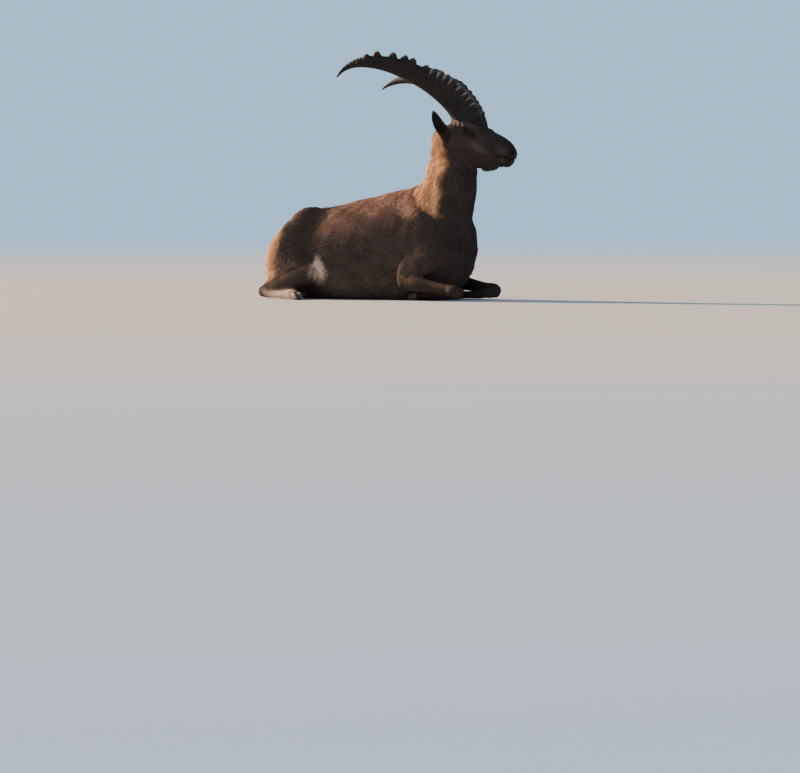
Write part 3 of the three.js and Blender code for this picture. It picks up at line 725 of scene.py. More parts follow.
# The skin lies deeper under the long hair of the nape, most of all just below the head,
# at the root of the tail and where the two meshes of the skin overlap
nape_deeper = 0.006
nape_fade = (0.470, 0.545)
nape_front = (0.29, 0.34)
nape_hollow = 0.010
hollow_level = 0.538
hollow_reach = 0.020
tail_deeper = 0.007
seam_deeper = 0.003
skin_lowest = 0.0004


def coat_values(kind, regions):
    """One value of the coat of each point's own region."""
    return np.array([getattr(region_coat[name], kind) for name in flesh_names], float)[regions]


def region_share(name, regions, edges, rounds):
    """Share of one region at each point, with a soft edge."""
    return smooth_values((regions == flesh_names.index(name)).astype(float), edges, rounds)[:, 0]


def skin_depth(points, regions, edges):
    """How deep the skin lies under the outside of the flesh."""
    depth = smooth_values(coat_values("depth", regions), edges, 6)[:, 0]
    neck = region_share("neck", regions, edges, 6)
    hollow = neck * bell(points[:, 2], hollow_level, hollow_reach)
    long_hair = neck * smoothstep(-points[:, 2], -nape_fade[1], -nape_fade[0])
    nape = nape_deeper * long_hair + nape_hollow * hollow
    return depth + nape * smoothstep(-(points[:, 0] - body_origin.x), -nape_front[1], -nape_front[0])


def make_skin():
    """One skin over all the flesh: a fine mesh on the head and a coarser one on the body."""
    tree, triangle_regions = region_tree()
    near_head = ["head", "lower_jaw", "neck", "ear_right", "ear_left"]
    body = flesh_copy([n for n in flesh_names if not n.startswith("ear")], "skin", body_voxel)
    head = flesh_copy(near_head, "skin_head", head_voxel)
    cut_point = head_frame @ Vector((neck_cut, 0, 0))
    across_neck = (head_frame.to_3x3() @ Vector((0.55, 0, 1))).normalized()
    cut_away(body, cut_point + across_neck * neck_overlap, across_neck)
    cut_away(head, cut_point - across_neck * neck_overlap, -across_neck)
    for part, inward, most_rounds in ((body, 1, 60), (head, -1, 8)):
        mesh = part.data
        edges = mesh_edges(mesh)
        points = mesh_points(mesh)
        regions = regions_of(points, tree, triangle_regions)
        rounds = smooth_values(coat_values("rounds", regions), edges, 8)[:, 0]
        points = smooth_values(points, edges, most_rounds, np.clip(rounds / most_rounds, 0, 1))
        set_points(mesh, points)
        normals = mesh_normals(mesh)
        if part is head:
            points = carve_head(points, normals)
        depth = skin_depth(points, regions, edges)
        if part is body:
            tail = region_share("tail", regions, edges, 3)
            depth = depth + tail_deeper * bell(tail, 0.3, 0.2) * (tail > 0.02)
        level = (points - np.array(cut_point)) @ np.array(across_neck) / neck_overlap
        depth = depth + seam_deeper * smoothstep(inward * level, 0.0, 1.0) * (np.abs(level) < 1.05)
        points = points - normals * depth[:, None]
        points[:, 2] = np.maximum(points[:, 2], skin_lowest)
        set_points(mesh, points)
    skin = join_all([body, head], "skin")
    shade_smooth(skin)
    return skin, tree, triangle_regions


def unwrap(obj):
    """The skin's own unwrap, in islands by its shape."""
    obj.data.uv_layers.new(name="OFBake")
    select_only(obj)
    bpy.ops.object.mode_set(mode="EDIT")
    bpy.ops.mesh.select_all(action="SELECT")
    bpy.ops.uv.smart_project(angle_limit=math.radians(66), island_margin=0.002)
    bpy.ops.object.mode_set(mode="OBJECT")


# Markings with painted light and shade, the same on skin and coat

body_brown = np.array((0.062, 0.044, 0.038))
# Ochre of the nape, lightened as painted sunlight; also the painted sunlight on the haunch's back edge and
# behind the ears
ochre_and_painted_sun = np.array((0.710, 0.370, 0.180))
# Painted sunlight in red on the withers, the back and the top of the haunch
painted_sunlight_red = np.array((0.420, 0.225, 0.155))
front_dark = np.array((0.042, 0.032, 0.029))
leg_dark = np.array((0.034, 0.025, 0.022))
# Painted sunlight on the outside of the hind cannon and pastern
painted_cannon_sunlight = np.array((0.600, 0.490, 0.410))
face_brown = np.array((0.042, 0.031, 0.028))
# Dark of the muzzle, also used as painted shade in the nostrils, the mouth line, the ears' cups and the
# face's hollows
muzzle_dark_and_shade = np.array((0.026, 0.020, 0.019))
# Painted light on the face's raised forms
painted_face_light = np.array((0.098, 0.077, 0.068))
belly_pale = np.array((0.200, 0.155, 0.120))
# Painted sunlight on the tuft behind the horns
poll_painted_sunlight = np.array((0.520, 0.390, 0.340))
stifle_pale = np.array((0.800, 0.590, 0.450))

# Painted light and shade of the face's forms, as lighter and darker zones: place along and up, half sizes,
# tilt, colour and strength
face_tones = (
    (0.050, -0.038, 0.046, 0.0125, -0.155, painted_face_light, 0.85),
    (0.137, -0.010, 0.022, 0.0150, 0.0, painted_face_light * 0.85, 0.62),
    (0.150, -0.044, 0.014, 0.0070, 0.1, painted_face_light * 0.8, 0.5),
    (0.102, -0.004, 0.006, 0.0200, 0.0, muzzle_dark_and_shade * 0.6, 0.7),
    (0.083, 0.012, 0.022, 0.0120, 0.0, muzzle_dark_and_shade, 0.5),
    (-0.002, 0.0270, 0.026, 0.0050, 0.0, painted_face_light, 0.45),
    (0.010, -0.024, 0.022, 0.0045, 0.1, painted_face_light, 0.40),
    (-0.030, -0.050, 0.030, 0.0300, 0.0, painted_face_light * 0.8, 0.45),
)

# Streaks of painted sunlight in red over the withers and the back: place along the body, reach and strength
sunlit_streaks = ((0.062, 0.045, 0.8), (0.225, 0.055, 1.0), (0.14, 0.13, 0.35))

# How much of the dark leg colour each piece of a leg takes
leg_darkness = (
    ("shank", 0.35), ("hind_cannon", 0.3), ("hind_pastern", 0.3), ("forearm", 0.6),
    ("knee", 0.75), ("fore_cannon", 0.9), ("fore_pastern", 0.9),
)

# The pale patch before the thigh: its middle, aslant across the body and up, and its half height
stifle_middle = (-0.2205, 0.121)
stifle_half_height = 0.047

# Between each pair a marking fades, in metres ahead of the body's origin or above the floor;
# the nape, the belly and the haunch's rear lie behind or below it, the others ahead or above
nape_edge = (0.322, 0.352)
belly_edge = (0.03, 0.14)
rear_edge = (-0.352, -0.305)
front_edge = (0.33, 0.39)
breast_edge = (0.26, 0.40)
withers_edge = (0.315, 0.365)
haunch_top = (0.24, 0.31)

# The painted sunlight on the outer side of the hind cannon fades in between these, outwards and ahead
cannon_outer = (0.18, 0.215)
cannon_ahead = (-0.395, -0.355)

# The dark of the muzzle fades in between these, in the head's own frame
muzzle_edge = (0.08, 0.15)

# The painted sunlight on the tuft behind the horn, in the head's own frame, and its half sizes
poll_middle = (-0.074, 0.020)
poll_half = (0.038, 0.0125)


def blend_colour(colours, other, amount):
    """Colours moved towards another by an amount from 0 to 1 at each point."""
    return colours + (other - colours) * np.clip(amount, 0, 1)[:, None]


def ear_hollow(normals, share):
    """How far each point lies inside the cup of an ear, from the way its surface faces."""
    inside = np.zeros(len(normals))
    for name, side in sides.items():
        opening = unit(turned((0.95, side * 0.32, -0.05), head_frame))
        inside += share[f"ear_{name}"] * smoothstep(normals @ opening, 0.15, 0.55)
    return inside


def hair_pattern(body):
    """The way aslant across the body, an uneven edge in metres and streaks from -1 to 1."""
    x, y, z = body.T
    aslant = 0.819 * x - 0.574 * np.abs(y)
    ripple = 0.012 * np.sin(37 * x + 21 * z) + 0.009 * np.sin(61 * z - 43 * y + 2)
    ripple = ripple + 0.006 * np.sin(190 * x + 60 * z + 3 * np.sin(70 * z)) * np.sin(80 * z + 110 * y)
    strands = np.sin(370 * aslant + 2.5 * np.sin(40 * z)) * (0.6 + 0.4 * np.sin(55 * z + 90 * aslant))
    return aslant, ripple, strands


def trunk_markings_and_light(colours, body, normals, share):
    """Pale belly, ochre nape lightened with painted sunlight, dark front, painted sunlight in red streaks on
    the withers, back and top of the haunch, and painted sunlight on the haunch's back edge.
    """
    x, _, z = body.T
    aslant, ripple, strands = hair_pattern(body)
    low = smoothstep(-(z + ripple), -belly_edge[1], -belly_edge[0])
    colours = blend_colour(colours, belly_pale, 0.4 * low * (share["belly"] + 0.5 * share["chest"]))
    # The nape's ochre, lightened as painted sunlight from behind
    nape = smoothstep(-(x + 0.7 * ripple), -nape_edge[1], -nape_edge[0])
    nape = nape * (0.90 + 0.10 * strands) * (1 - 0.22 * (strands > 0.55))
    colours = blend_colour(colours, ochre_and_painted_sun, nape * share["neck"])
    front = smoothstep(x + ripple - 0.1 * (z - 0.5), *front_edge)
    colours = blend_colour(colours, front_dark, 0.75 * front * share["neck"])
    # Painted sunlight in red streaks over the withers and the back
    streaks = sum(amount * bell(x, place, reach) for place, reach, amount in sunlit_streaks)
    withers = np.clip(streaks + 0.25 * strands, 0, 1) * smoothstep(z + 1.8 * ripple, *withers_edge)
    colours = blend_colour(colours, painted_sunlight_red, 0.85 * withers * (1 - share["neck"]))
    # Painted sunlight on the upward-facing fur along the back
    sunlit_top = smoothstep(normals[:, 2], 0.25, 0.7) * smoothstep(x, -0.22, -0.12) * smoothstep(-x, -0.30, -0.05)
    colours = blend_colour(colours, painted_sunlight_red, 0.5 * sunlit_top * (1 - share["neck"]))
    breast = smoothstep(x + ripple, *breast_edge) * share["chest"]
    colours = blend_colour(colours, front_dark, 0.7 * breast)
    # Painted sunlight on the haunch's back edge
    haunch = share["thigh_right"] + share["thigh_left"] + share["rump"]
    rear = smoothstep(-(x + 0.7 * ripple + 0.004 * strands), -rear_edge[1], -rear_edge[0]) * haunch
    high = smoothstep(z, *haunch_top)
    colours = blend_colour(colours, ochre_and_painted_sun, 0.95 * rear * (1 - high))
    # Painted sunlight in red along the haunch's top
    rim = smoothstep(1.06 * (z - 0.333) - 0.293 - aslant - 0.5 * ripple, -0.050, -0.008)
    return blend_colour(colours, painted_sunlight_red, 0.65 * rim * high * haunch)


def leg_markings_and_light(colours, body, share):
    """Dark legs, the pale patch at the stifle, painted sunlight on the outside of the hind cannon, and the
    tail.
    """
    x, y, z = body.T
    aslant, ripple, strands = hair_pattern(body)
    half_width = np.clip(0.034 - 0.33 * (z - 0.105), 0.011, 0.036)
    stifle = np.hypot((aslant - stifle_middle[0]) / half_width, (z - stifle_middle[1]) / stifle_half_height)
    stifle = stifle + 2.5 * ripple + 0.17 * np.sin(900 * aslant + 4 * np.sin(70 * z)) + 0.06 * strands
    for name, side in sides.items():
        for piece, amount in leg_darkness:
            colours = blend_colour(colours, leg_dark, amount * share[f"{piece}_{name}"])
        beside = (side * y > 0.10) * (1 - smoothstep(x, -0.06, -0.02))
        colours = blend_colour(colours, stifle_pale, smoothstep(1.35 - stifle, 0.0, 0.95) * beside)
        # Painted sunlight on the outside of the hind cannon and pastern
        outer = smoothstep(side * y, *cannon_outer) * smoothstep(x + ripple, *cannon_ahead)
        lower = share[f"hind_cannon_{name}"] + 0.6 * share[f"hind_pastern_{name}"]
        colours = blend_colour(colours, painted_cannon_sunlight, 0.8 * outer * lower)
    return blend_colour(colours, leg_dark, 0.7 * share["tail"])


def head_markings_and_light(colours, body, local, normals, share):
    """Dark face with painted light and shade on its forms, the ears with painted shade in their cups, the
    dark surrounds of the eyes, painted shade in the nostrils and along the mouth, ochre with painted
    sunlight behind the ears, painted sunlight on the poll tuft.
    """
    _, ripple, _ = hair_pattern(body)
    head = share["head"] + share["lower_jaw"]
    colours = blend_colour(colours, face_brown, head)
    muzzle = smoothstep(local[:, 0], *muzzle_edge)
    colours = blend_colour(colours, muzzle_dark_and_shade, 0.85 * muzzle * head)
    # Painted light and shade of the face's forms
    for along, up, wide, high, tilt, colour, amount in face_tones:
        ahead = local[:, 0] - along
        above = local[:, 2] - up - tilt * ahead
        zone = soft_patch(ahead, above, (0, 0), (wide, high)) * head
        colours = blend_colour(colours, colour, amount * zone * smoothstep(np.abs(local[:, 1]), 0.008, 0.02))
    # Ochre with painted sunlight on the hair behind the ears
    behind = smoothstep(-(body[:, 0] + 0.7 * ripple), -nape_edge[1], -0.332)
    behind = behind * smoothstep(-local[:, 2], 0.035, 0.055)
    colours = blend_colour(colours, ochre_and_painted_sun, 0.92 * behind * share["head"])
    ears = share["ear_right"] + share["ear_left"]
    colours = blend_colour(colours, face_brown * 1.25, ears)
    # Painted shade in the cups of the ears
    colours = blend_colour(colours, muzzle_dark_and_shade * 0.8, 0.85 * ear_hollow(normals, share))
    for side in sides.values():
        eye = local - eye_centre * (1, side, 1)
        lens = np.hypot(eye[:, 0] - 0.001, (eye[:, 2] + 0.12 * eye[:, 0]) * 1.75)
        dark = (1 - smoothstep(lens, 0.022, 0.032)) * (side * local[:, 1] > 0)
        colours = blend_colour(colours, muzzle_dark_and_shade * 0.5, 0.85 * dark * head)
        # Painted shade in the nostrils
        nostril = np.linalg.norm(local - nostril_place * (1, side, 1), axis=1)
        colours = blend_colour(colours, muzzle_dark_and_shade * 0.35, bell(nostril, 0, 0.009))
    # Painted shade along the line of the mouth
    line = bell(mouth_distance(local), 0, 0.003) * head
    colours = blend_colour(colours, muzzle_dark_and_shade * 0.3, line)
    # Painted sunlight on the tuft behind the horns
    tuft = np.hypot(*((local[:, (0, 2)] - poll_middle) / poll_half).T) + 6 * ripple
    tuft = tuft + 0.40 * np.sin(290 * local[:, 0] + 90 * local[:, 2])
    return blend_colour(colours, poll_painted_sunlight, 0.9 * smoothstep(1.3 - tuft, 0.0, 0.9) * head)


def markings_and_light(points, normals, kinds):
    """Colour at each point, markings with painted light and shade; kinds holds the share of every region at
    that point.
    """
    share = {name: kinds[:, i] for i, name in enumerate(flesh_names)}
    body = points - np.array(body_origin)
    colours = np.tile(body_brown, (len(points), 1))
    colours = trunk_markings_and_light(colours, body, normals, share)
    colours = leg_markings_and_light(colours, body, share)
    return head_markings_and_light(colours, body, in_frame(points, head_frame), normals, share)


def store(mesh, name, values):
    """A value or a colour at every vertex."""
    if values.ndim == 1:
        attribute = mesh.attributes.new(name, "FLOAT", "POINT")
        attribute.data.foreach_set("value", values.astype(np.float32))
        return
    attribute = mesh.attributes.new(name, "FLOAT_COLOR", "POINT")
    rgba = np.concatenate([values, np.ones((len(values), 1))], 1)
    attribute.data.foreach_set("color", rgba.astype(np.float32).ravel())


# The coat: forked tufts rooted in the skin

coat_pieces = {
    "coat_head": ["head", "lower_jaw", "ear_right", "ear_left"],
    "coat_neck": ["neck"],
    "coat_chest": ["chest", "shoulder_right", "shoulder_left"],
    "coat_belly": ["belly"],
    "coat_rump": ["rump", "tail"],
    "coat_haunches": ["thigh_right", "thigh_left", "shank_right", "shank_left"],
}
largest_piece = 38000

# A tuft has two corners at its root, three at its middle and two at its tip:
# where each lies across and along the tuft, and the faces between them
tuft_across = np.array((-0.5, 0.5, -0.5, 0.0, 0.5, -0.3, 0.3))
tuft_along = np.array((0.0, 0.0, 0.55, 0.6, 0.55, 1.0, 1.0))
tuft_faces = np.array([(0, 3, 1), (0, 2, 3), (1, 3, 4), (2, 5, 3), (3, 6, 4)])
tuft_corners = len(tuft_across)
root_sunk = 0.0012
coat_lowest = 0.0006
uv_patch = 0.003

# Tufts as long as this take the full painted shade at the root; shorter ones less of it
full_shade_length = 0.022

# Every so many tufts there is one that its neighbours lean towards
clump_size = 12

# No hair grows where the body rests on the floor, below this height
resting_height = 0.004

# Below this height hair that would meet the surface head-on turns downwards
head_on_top = 0.45

# The point of the left heel, from the body's origin; the right one mirrors it
heel_place = (-0.393, 0.198, 0.045)
heel_reach = 0.045

# The hair of the head grows from the edge of the lids outwards and ends before the tip of the nose
almond_bare = (0.0212, 0.0232)
almond_height = 0.62
nose_bare = (0.170, 0.179)

# Longer, higher hair behind the horns and before them: place and half sizes in the head's own frame
poll_hair = ((-0.084, 0.022), (0.022, 0.016))
forelock_hair = ((0.056, 0), (0.013, 0.032))

# Locks: which way they point, their length, their lift and how much denser they grow
beard_lock = ((-0.70, 0, -0.72), 0.028, math.radians(32), 2.2)
tail_lock = (tuple(tail_way), 0.058, math.radians(22), 1.5)


def piece_of_region():
    """The names of the pieces of coat, and for each region the piece it belongs to."""
    names = list(coat_pieces) + ["coat_legs"]
    owner = {region: i for i, name in enumerate(coat_pieces) for region in coat_pieces[name]}
    return names, np.array([owner.get(region, len(names) - 1) for region in flesh_names])


def bare_places(points):
    """Share of the coat that grows at each point: none on the nose, the lips and inside the lids."""
    local = in_frame(points, head_frame)
    keep = np.ones(len(points))
    keep *= smoothstep(mouth_distance(local), 0.003, 0.006)
    for side in sides.values():
        eye = local - eye_centre * (1, side, 1)
        almond = np.hypot(eye[:, 0], eye[:, 2] / almond_height)
        keep *= np.where(side * local[:, 1] > 0.03, smoothstep(almond, *almond_bare), 1.0)
        nostril = np.linalg.norm(local - nostril_place * (1, side, 1), axis=1)
        keep *= smoothstep(nostril, 0.006, 0.011)
    nose = smoothstep(-local[:, 0], -nose_bare[1], -nose_bare[0])
    return keep * np.where(local[:, 2] > -0.10, nose, 1.0)


def horn_trees():
    """A search tree over each horn of the solids."""
    trees = []
    for name in sides:
        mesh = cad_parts[f"horn_{name}"].data
        corners, _ = mesh_triangles(mesh)
        trees.append(BVHTree.FromPolygons(mesh_points(mesh).tolist(), corners.tolist()))
    return trees


def turned_towards(lie, way, amount):
    """The lie of the hair, turned by an amount from 0 to 1 at each point towards another way."""
    return lie + (np.array(way) - lie) * np.clip(amount, 0, 1)[:, None]


def hair_lie(points, normals, edges, kinds):
    """Which way the hair points on each region, turned over at the haunch, the heels and the knees."""
    share = {name: kinds[:, i] for i, name in enumerate(flesh_names)}
    body = points - np.array(body_origin)
    lie = kinds @ np.array([region_coat[name].lie for name in flesh_names])
    haunch = share["thigh_right"] + share["thigh_left"]
    lie = turned_towards(lie, (-1, 0, -0.3), haunch * smoothstep(body[:, 2], 0.12, 0.24))
    over_rump = (haunch + share["rump"]) * smoothstep(-body[:, 0], 0.36, 0.44)
    lie = turned_towards(lie, (-0.15, 0, -1), over_rump)
    for name, side in sides.items():
        from_heel = np.linalg.norm(body - np.array(heel_place) * (1, side, 1), axis=1)
        heel = bell(from_heel, 0, heel_reach)
        lie = turned_towards(lie, (-0.25, 0, -1), 1.4 * heel)
        knee_low, knee_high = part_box(f"knee_{name}")
        knee = smoothstep(points[:, 0], (knee_low.x + knee_high.x) / 2, knee_high.x - 0.004)
        lie = turned_towards(lie, (0.25, 0, -1), 1.4 * knee * share[f"knee_{name}"])
    head_on = smoothstep(np.abs((normals * unit(lie)).sum(1)), 0.62, 0.92)
    head_on = head_on * (1 - np.abs(normals[:, 2])) * (points[:, 2] < head_on_top)
    return smooth_values(turned_towards(lie, (0, 0, -1), head_on), edges, 30)


class Hair:
    """Lie, length, width, roots a square metre and lift of the hair at each point of the skin."""

    def __init__(self, points, normals, edges, kinds):
        coats = [region_coat[name] for name in flesh_names]
        self.lie = hair_lie(points, normals, edges, kinds)
        self.length = kinds @ np.array([c.length for c in coats], float)
        self.width = kinds @ np.array([c.width for c in coats], float)
        self.density = kinds @ np.array([c.density for c in coats], float) * 1e4
        self.lift = np.radians(kinds @ np.array([c.lift for c in coats], float))
        share = {name: kinds[:, i] for i, name in enumerate(flesh_names)}
        self.grow_locks(points, share)
        self.grow_head_hair(points, normals, share)
        self.density = self.density * bare_places(points)
        under = (points[:, 2] < resting_height) & (normals[:, 2] < -0.5)
        self.density = np.where(under, 0, self.density)

    def grow_locks(self, points, share):
        """Short hair on the muzzle, longer on throat and nape, and the locks of beard and tail."""
        local = in_frame(points, head_frame)
        muzzle = (share["head"] + share["lower_jaw"]) * smoothstep(local[:, 0], -0.02, 0.12)
        self.length = self.length * (1 - 0.45 * muzzle)
        throat = share["head"] * smoothstep(-local[:, 2], 0.07, 0.11)
        self.length = self.length * (1 + 0.3 * throat)
        nape = share["neck"] * smoothstep(-(points[:, 0] - body_origin.x), -0.31, -0.25)
        self.length = self.length * (1 + 0.25 * nape)
        beard = smoothstep(0.023 - np.abs(local[:, 1]), 0.0, 0.009) * smoothstep(local[:, 0], 0.076, 0.100)
        beard = beard * smoothstep(-local[:, 0], -0.150, -0.118) * smoothstep(-local[:, 2], 0.053, 0.062)
        beard = beard * share["lower_jaw"]
        down_tail = (points - np.array(tail_root)) @ np.array(tail_way)
        tail = share["tail"] * smoothstep(down_tail, 0.0, 0.045)
        for place, lock in ((beard, beard_lock), (tail, tail_lock)):
            way, length, lift, more = lock
            self.lie = turned_towards(self.lie, way, place)
            self.length = self.length + (length - self.length) * np.clip(place, 0, 1)
            self.lift = self.lift + (lift - self.lift) * np.clip(place, 0, 1)
            self.density = self.density * (1 + (more - 1) * place)

    def grow_head_hair(self, points, normals, share):
        """The tuft behind the horns, the hair below the ears and the forelock; thin hair in the ears."""
        local = in_frame(points, head_frame)
        head = share["head"] + share["lower_jaw"]
        poll = soft_patch(local[:, 0], local[:, 2], *poll_hair)
        poll = poll * head * smoothstep(np.abs(local[:, 1]), 0.014, 0.030)
        self.length = self.length * (1 + 1.8 * poll)
        self.lift = self.lift * (1 + 1.2 * poll)
        behind = head * smoothstep(-(points[:, 0] - body_origin.x), -0.365, -0.335)
        behind = behind * smoothstep(-local[:, 2], 0.035, 0.060)
        self.length = self.length * (1 + 1.3 * behind)
        self.width = self.width * (1 + 0.5 * behind)
        hollow = ear_hollow(normals, share)
        self.length = self.length * (1 - 0.35 * hollow)
        self.density = self.density * (1 - 0.5 * hollow)
        forelock = soft_patch(local[:, 0], local[:, 1], *forelock_hair)
        forelock = forelock * smoothstep(local[:, 2], 0.015, 0.03) * head
        self.length = self.length * (1 + 1.2 * forelock)
        self.lift = self.lift * (1 + 1.3 * forelock)


def draw_roots(points, corners, density):
    """For every tuft a triangle of the skin, picked by the hair's density, and a place within it."""
    a, b, c = (points[corners[:, i]] for i in range(3))
    area = np.linalg.norm(np.cross(b - a, c - a), axis=1) / 2
    total = np.cumsum(area * density[corners].mean(1) * coat_share)
    count = int(total[-1])
    picks = np.searchsorted(total, (np.arange(count) + rng.random(count)) * total[-1] / count)
    picks = np.minimum(picks, len(corners) - 1)
    u, v = rng.random((2, count))
    over = u + v > 1
    u[over] = 1 - u[over]
    v[over] = 1 - v[over]
    return picks, np.stack([1 - u - v, u, v], 1)[:, :, None]


def clumped(root, middle, tip, long):
    """Tips, and middles a little, drawn together round some tufts; most where the hair is long."""
    tree = KDTree(len(root[::clump_size]))
    for i, p in enumerate(root[::clump_size]):
        tree.insert(p, i)
    tree.balance()
    nearest = np.fromiter((tree.find(p)[1] for p in root), int, len(root)) * clump_size
    hold = np.clip((long - 0.006) / 0.03, 0.05, 0.42)[:, None]
    pull = (tip[nearest] - tip) - ((root[nearest] - root) * 0.35)
    far = np.linalg.norm(pull, axis=1, keepdims=True)
    pull = pull * np.minimum(1, 0.5 * long[:, None] / np.maximum(far, 1e-6))
    return middle + 0.35 * hold * pull, tip + hold * pull


def leaning(way, normal, angle):
    """Ways along the skin, lifted off it by an angle."""
    return way * np.cos(angle)[:, None] + normal * np.sin(angle)[:, None]


def shape_tufts(root, normal, way, long, wide, rise):
    """Seven corners for every tuft: two at the root, three at the middle and two at the forked tip."""
    count = len(root)
    way = unit(way - normal * (way * normal).sum(1, keepdims=True))
    sway = np.sin(root @ np.array((31, 17, 23))) + np.sin(root @ np.array((-19, 41, 27)) + 1.3)
    turn = np.radians(9) * sway + np.radians(9) * rng.standard_normal(count)
    way = way * np.cos(turn)[:, None] + np.cross(normal, way) * np.sin(turn)[:, None]
    wave = np.sin(root @ np.array((57, -35, 49)) + 0.7) * np.sin(root @ np.array((-29, 63, 37)))
    rise = rise * (1 + 0.35 * wave)
    middle = root + leaning(way, normal, rise * 1.5) * (0.48 * long)[:, None]
    tip = middle + leaning(way, normal, rise * 0.25) * (0.52 * long)[:, None]
    middle, tip = clumped(root, middle, tip, long)
    sunk = root - normal * root_sunk
    half = np.cross(normal, way) * (wide / 2)[:, None]
    fork = rng.uniform(0.25, 0.6, (2, count, 1))
    ends = rng.uniform(-0.14, 0.14, (2, count, 1))
    verts = np.stack(
        [
            sunk - half * 0.8,
            sunk + half * 0.8,
            middle - half,
            middle + normal * (wide * 0.22)[:, None],
            middle + half,
            tip - half * fork[0] + (tip - middle) * ends[0],
            tip + half * fork[1] + (tip - middle) * ends[1],
        ],
        1,
    )
    verts[:, :, 2] = np.maximum(verts[:, :, 2], coat_lowest)
    return verts


def clear_of_horns(root, region):
    """Which tufts grow: those of the head stay out of the horns' roots."""
    grow = np.ones(len(root), bool)
    trees = horn_trees()
    on_head = region == flesh_names.index("head")
    near_horn = np.nonzero(on_head & (in_frame(root, head_frame)[:, 2] > 0.0))[0]
    for i in near_horn:
        p = Vector(root[i])
        for tree in trees:
            place, facing, _, distance = tree.find_nearest(p)
            if distance < 0.003 or (distance < 0.02 and (p - place).dot(facing) < 0):
                grow[i] = False
    return grow


def coat_piece(name, verts, root_uv, colours, long, tone, finish):
    """One piece of coat: its tufts, a small patch of the skin's unwrap for each, and its colours."""
    faces = (np.arange(len(verts))[:, None, None] * tuft_corners + tuft_faces).reshape(-1, 3)
    piece = new_piece(name, verts.reshape(-1, 3), faces)
    layer = piece.data.uv_layers.new(name="OFBake")
    u_patch = root_uv[:, 0][:, None] + tuft_across * uv_patch
    v_patch = root_uv[:, 1][:, None] + (tuft_along - 0.5) * uv_patch
    corner_uv = np.stack([u_patch, v_patch], 2).reshape(-1, 2)[faces.ravel()]
    layer.data.foreach_set("uv", corner_uv.astype(np.float32).ravel())
    store(piece.data, "markings_and_light", np.repeat(colours, tuft_corners, 0))
    rooted = np.clip(long / full_shade_length, 0.4, 1.0)[:, None]
    store(piece.data, "along", (1 - (1 - tuft_along) * rooted).ravel())
    store(piece.data, "tone", np.repeat(tone, tuft_corners))
    piece.data.materials.append(finish)
    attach(piece, "root")


def grow_coat(skin, kinds, finish):
    """Draws the roots over the skin, shapes a tuft on each and gathers them into pieces."""
    points = mesh_points(skin.data)
    normals = mesh_normals(skin.data)
    corners, loops = mesh_triangles(skin.data)
    uv = np.empty(len(skin.data.loops) * 2, np.float32)
    skin.data.uv_layers["OFBake"].data.foreach_get("uv", uv)
    uv = uv.reshape(-1, 2)
    hair = Hair(points, normals, mesh_edges(skin.data), kinds)
    picks, place = draw_roots(points, corners, hair.density)
    count = len(picks)

    def at_roots(values):
        values = values.reshape(len(values), -1)
        return (values[corners[picks]] * place).sum(1)

    root = at_roots(points)
    normal = unit(at_roots(normals))
    root_uv = (uv[loops[picks]] * place).sum(1)
    long = at_roots(hair.length)[:, 0] * rng.uniform(0.72, 1.25, count)
    wide = at_roots(hair.width)[:, 0] * rng.uniform(0.75, 1.25, count)
    rise = at_roots(hair.lift)[:, 0] * rng.uniform(0.7, 1.3, count)
    root_kinds = at_roots(kinds)
    region = np.argmax(root_kinds, 1)
    verts = shape_tufts(root, normal, at_roots(hair.lie), long, wide, rise)
    grow = clear_of_horns(root, region)
    tone = rng.random(count)
    names, owner = piece_of_region()
    for index, name in enumerate(names):
        chosen = np.nonzero((owner[region] == index) & grow)[0]
        chunks = max(1, math.ceil(len(chosen) / largest_piece))
        for k, chunk in enumerate(np.array_split(chosen, chunks)):
            colours = markings_and_light(root[chunk], normal[chunk], root_kinds[chunk])
            piece_name = f"{name}_{k + 1}" if chunks > 1 else name
            coat_piece(piece_name, verts[chunk], root_uv[chunk], colours, long[chunk], tone[chunk], finish)


# Horns

# The horn's line in the level frame of the head: its length, its root and how far it goes on below.
# Its rise and its turn outwards, in degrees, are sums of rising powers of the share of its length;
# left_rise and left_turn are added for the left horn
horn_length = 0.617
horn_root = np.array((-0.009, 0.032, 0.0155))
sunk_root = 0.030
rise_terms = (83.4, -285, 479, -324, 0, 0, 0, 0, -10)
turn_terms = (-1, 161, -176)
left_rise = (-4.6, 9.8, 0, 0, 0, 0, 0, 0, 9)
left_turn = 3.3

# The plane on which the horns stand, in the head's own frame
seat_middle = Vector((-0.018, 0, 0.032))
seat_tilt = math.radians(5)
seat_sunk = 0.004

# The knobs on the front face: distance from the root and height, in metres
knobs = (
    (0.047, 0.004), (0.067, 0.005), (0.088, 0.006), (0.109, 0.008), (0.135, 0.010),
    (0.168, 0.014), (0.195, 0.015), (0.218, 0.014), (0.244, 0.011), (0.274, 0.011),
    (0.327, 0.016), (0.355, 0.017), (0.397, 0.017), (0.452, 0.015), (0.487, 0.008),
)

# Between these distances the far face of each knob gets a pale slit of painted sunlight
slit_range = (0.06, 0.26)

# A knob's height against the list, and the half of its length at no height and for its height
knob_growth = 1.15
knob_least_half = 0.0068
knob_half_share = 0.56

# Half depth and half width at a share of the horn's length, apart from the knobs
horn_shares = (-0.05, 0.0, 0.2, 0.4, 0.6, 0.8, 0.92, 1.0)
horn_half_depths = (0.054, 0.054, 0.049, 0.039, 0.031, 0.020, 0.0095, 0.0025)
horn_half_widths = (0.029, 0.030, 0.030, 0.028, 0.023, 0.016, 0.0085, 0.002)
horn_around = 40
horn_rows = 330


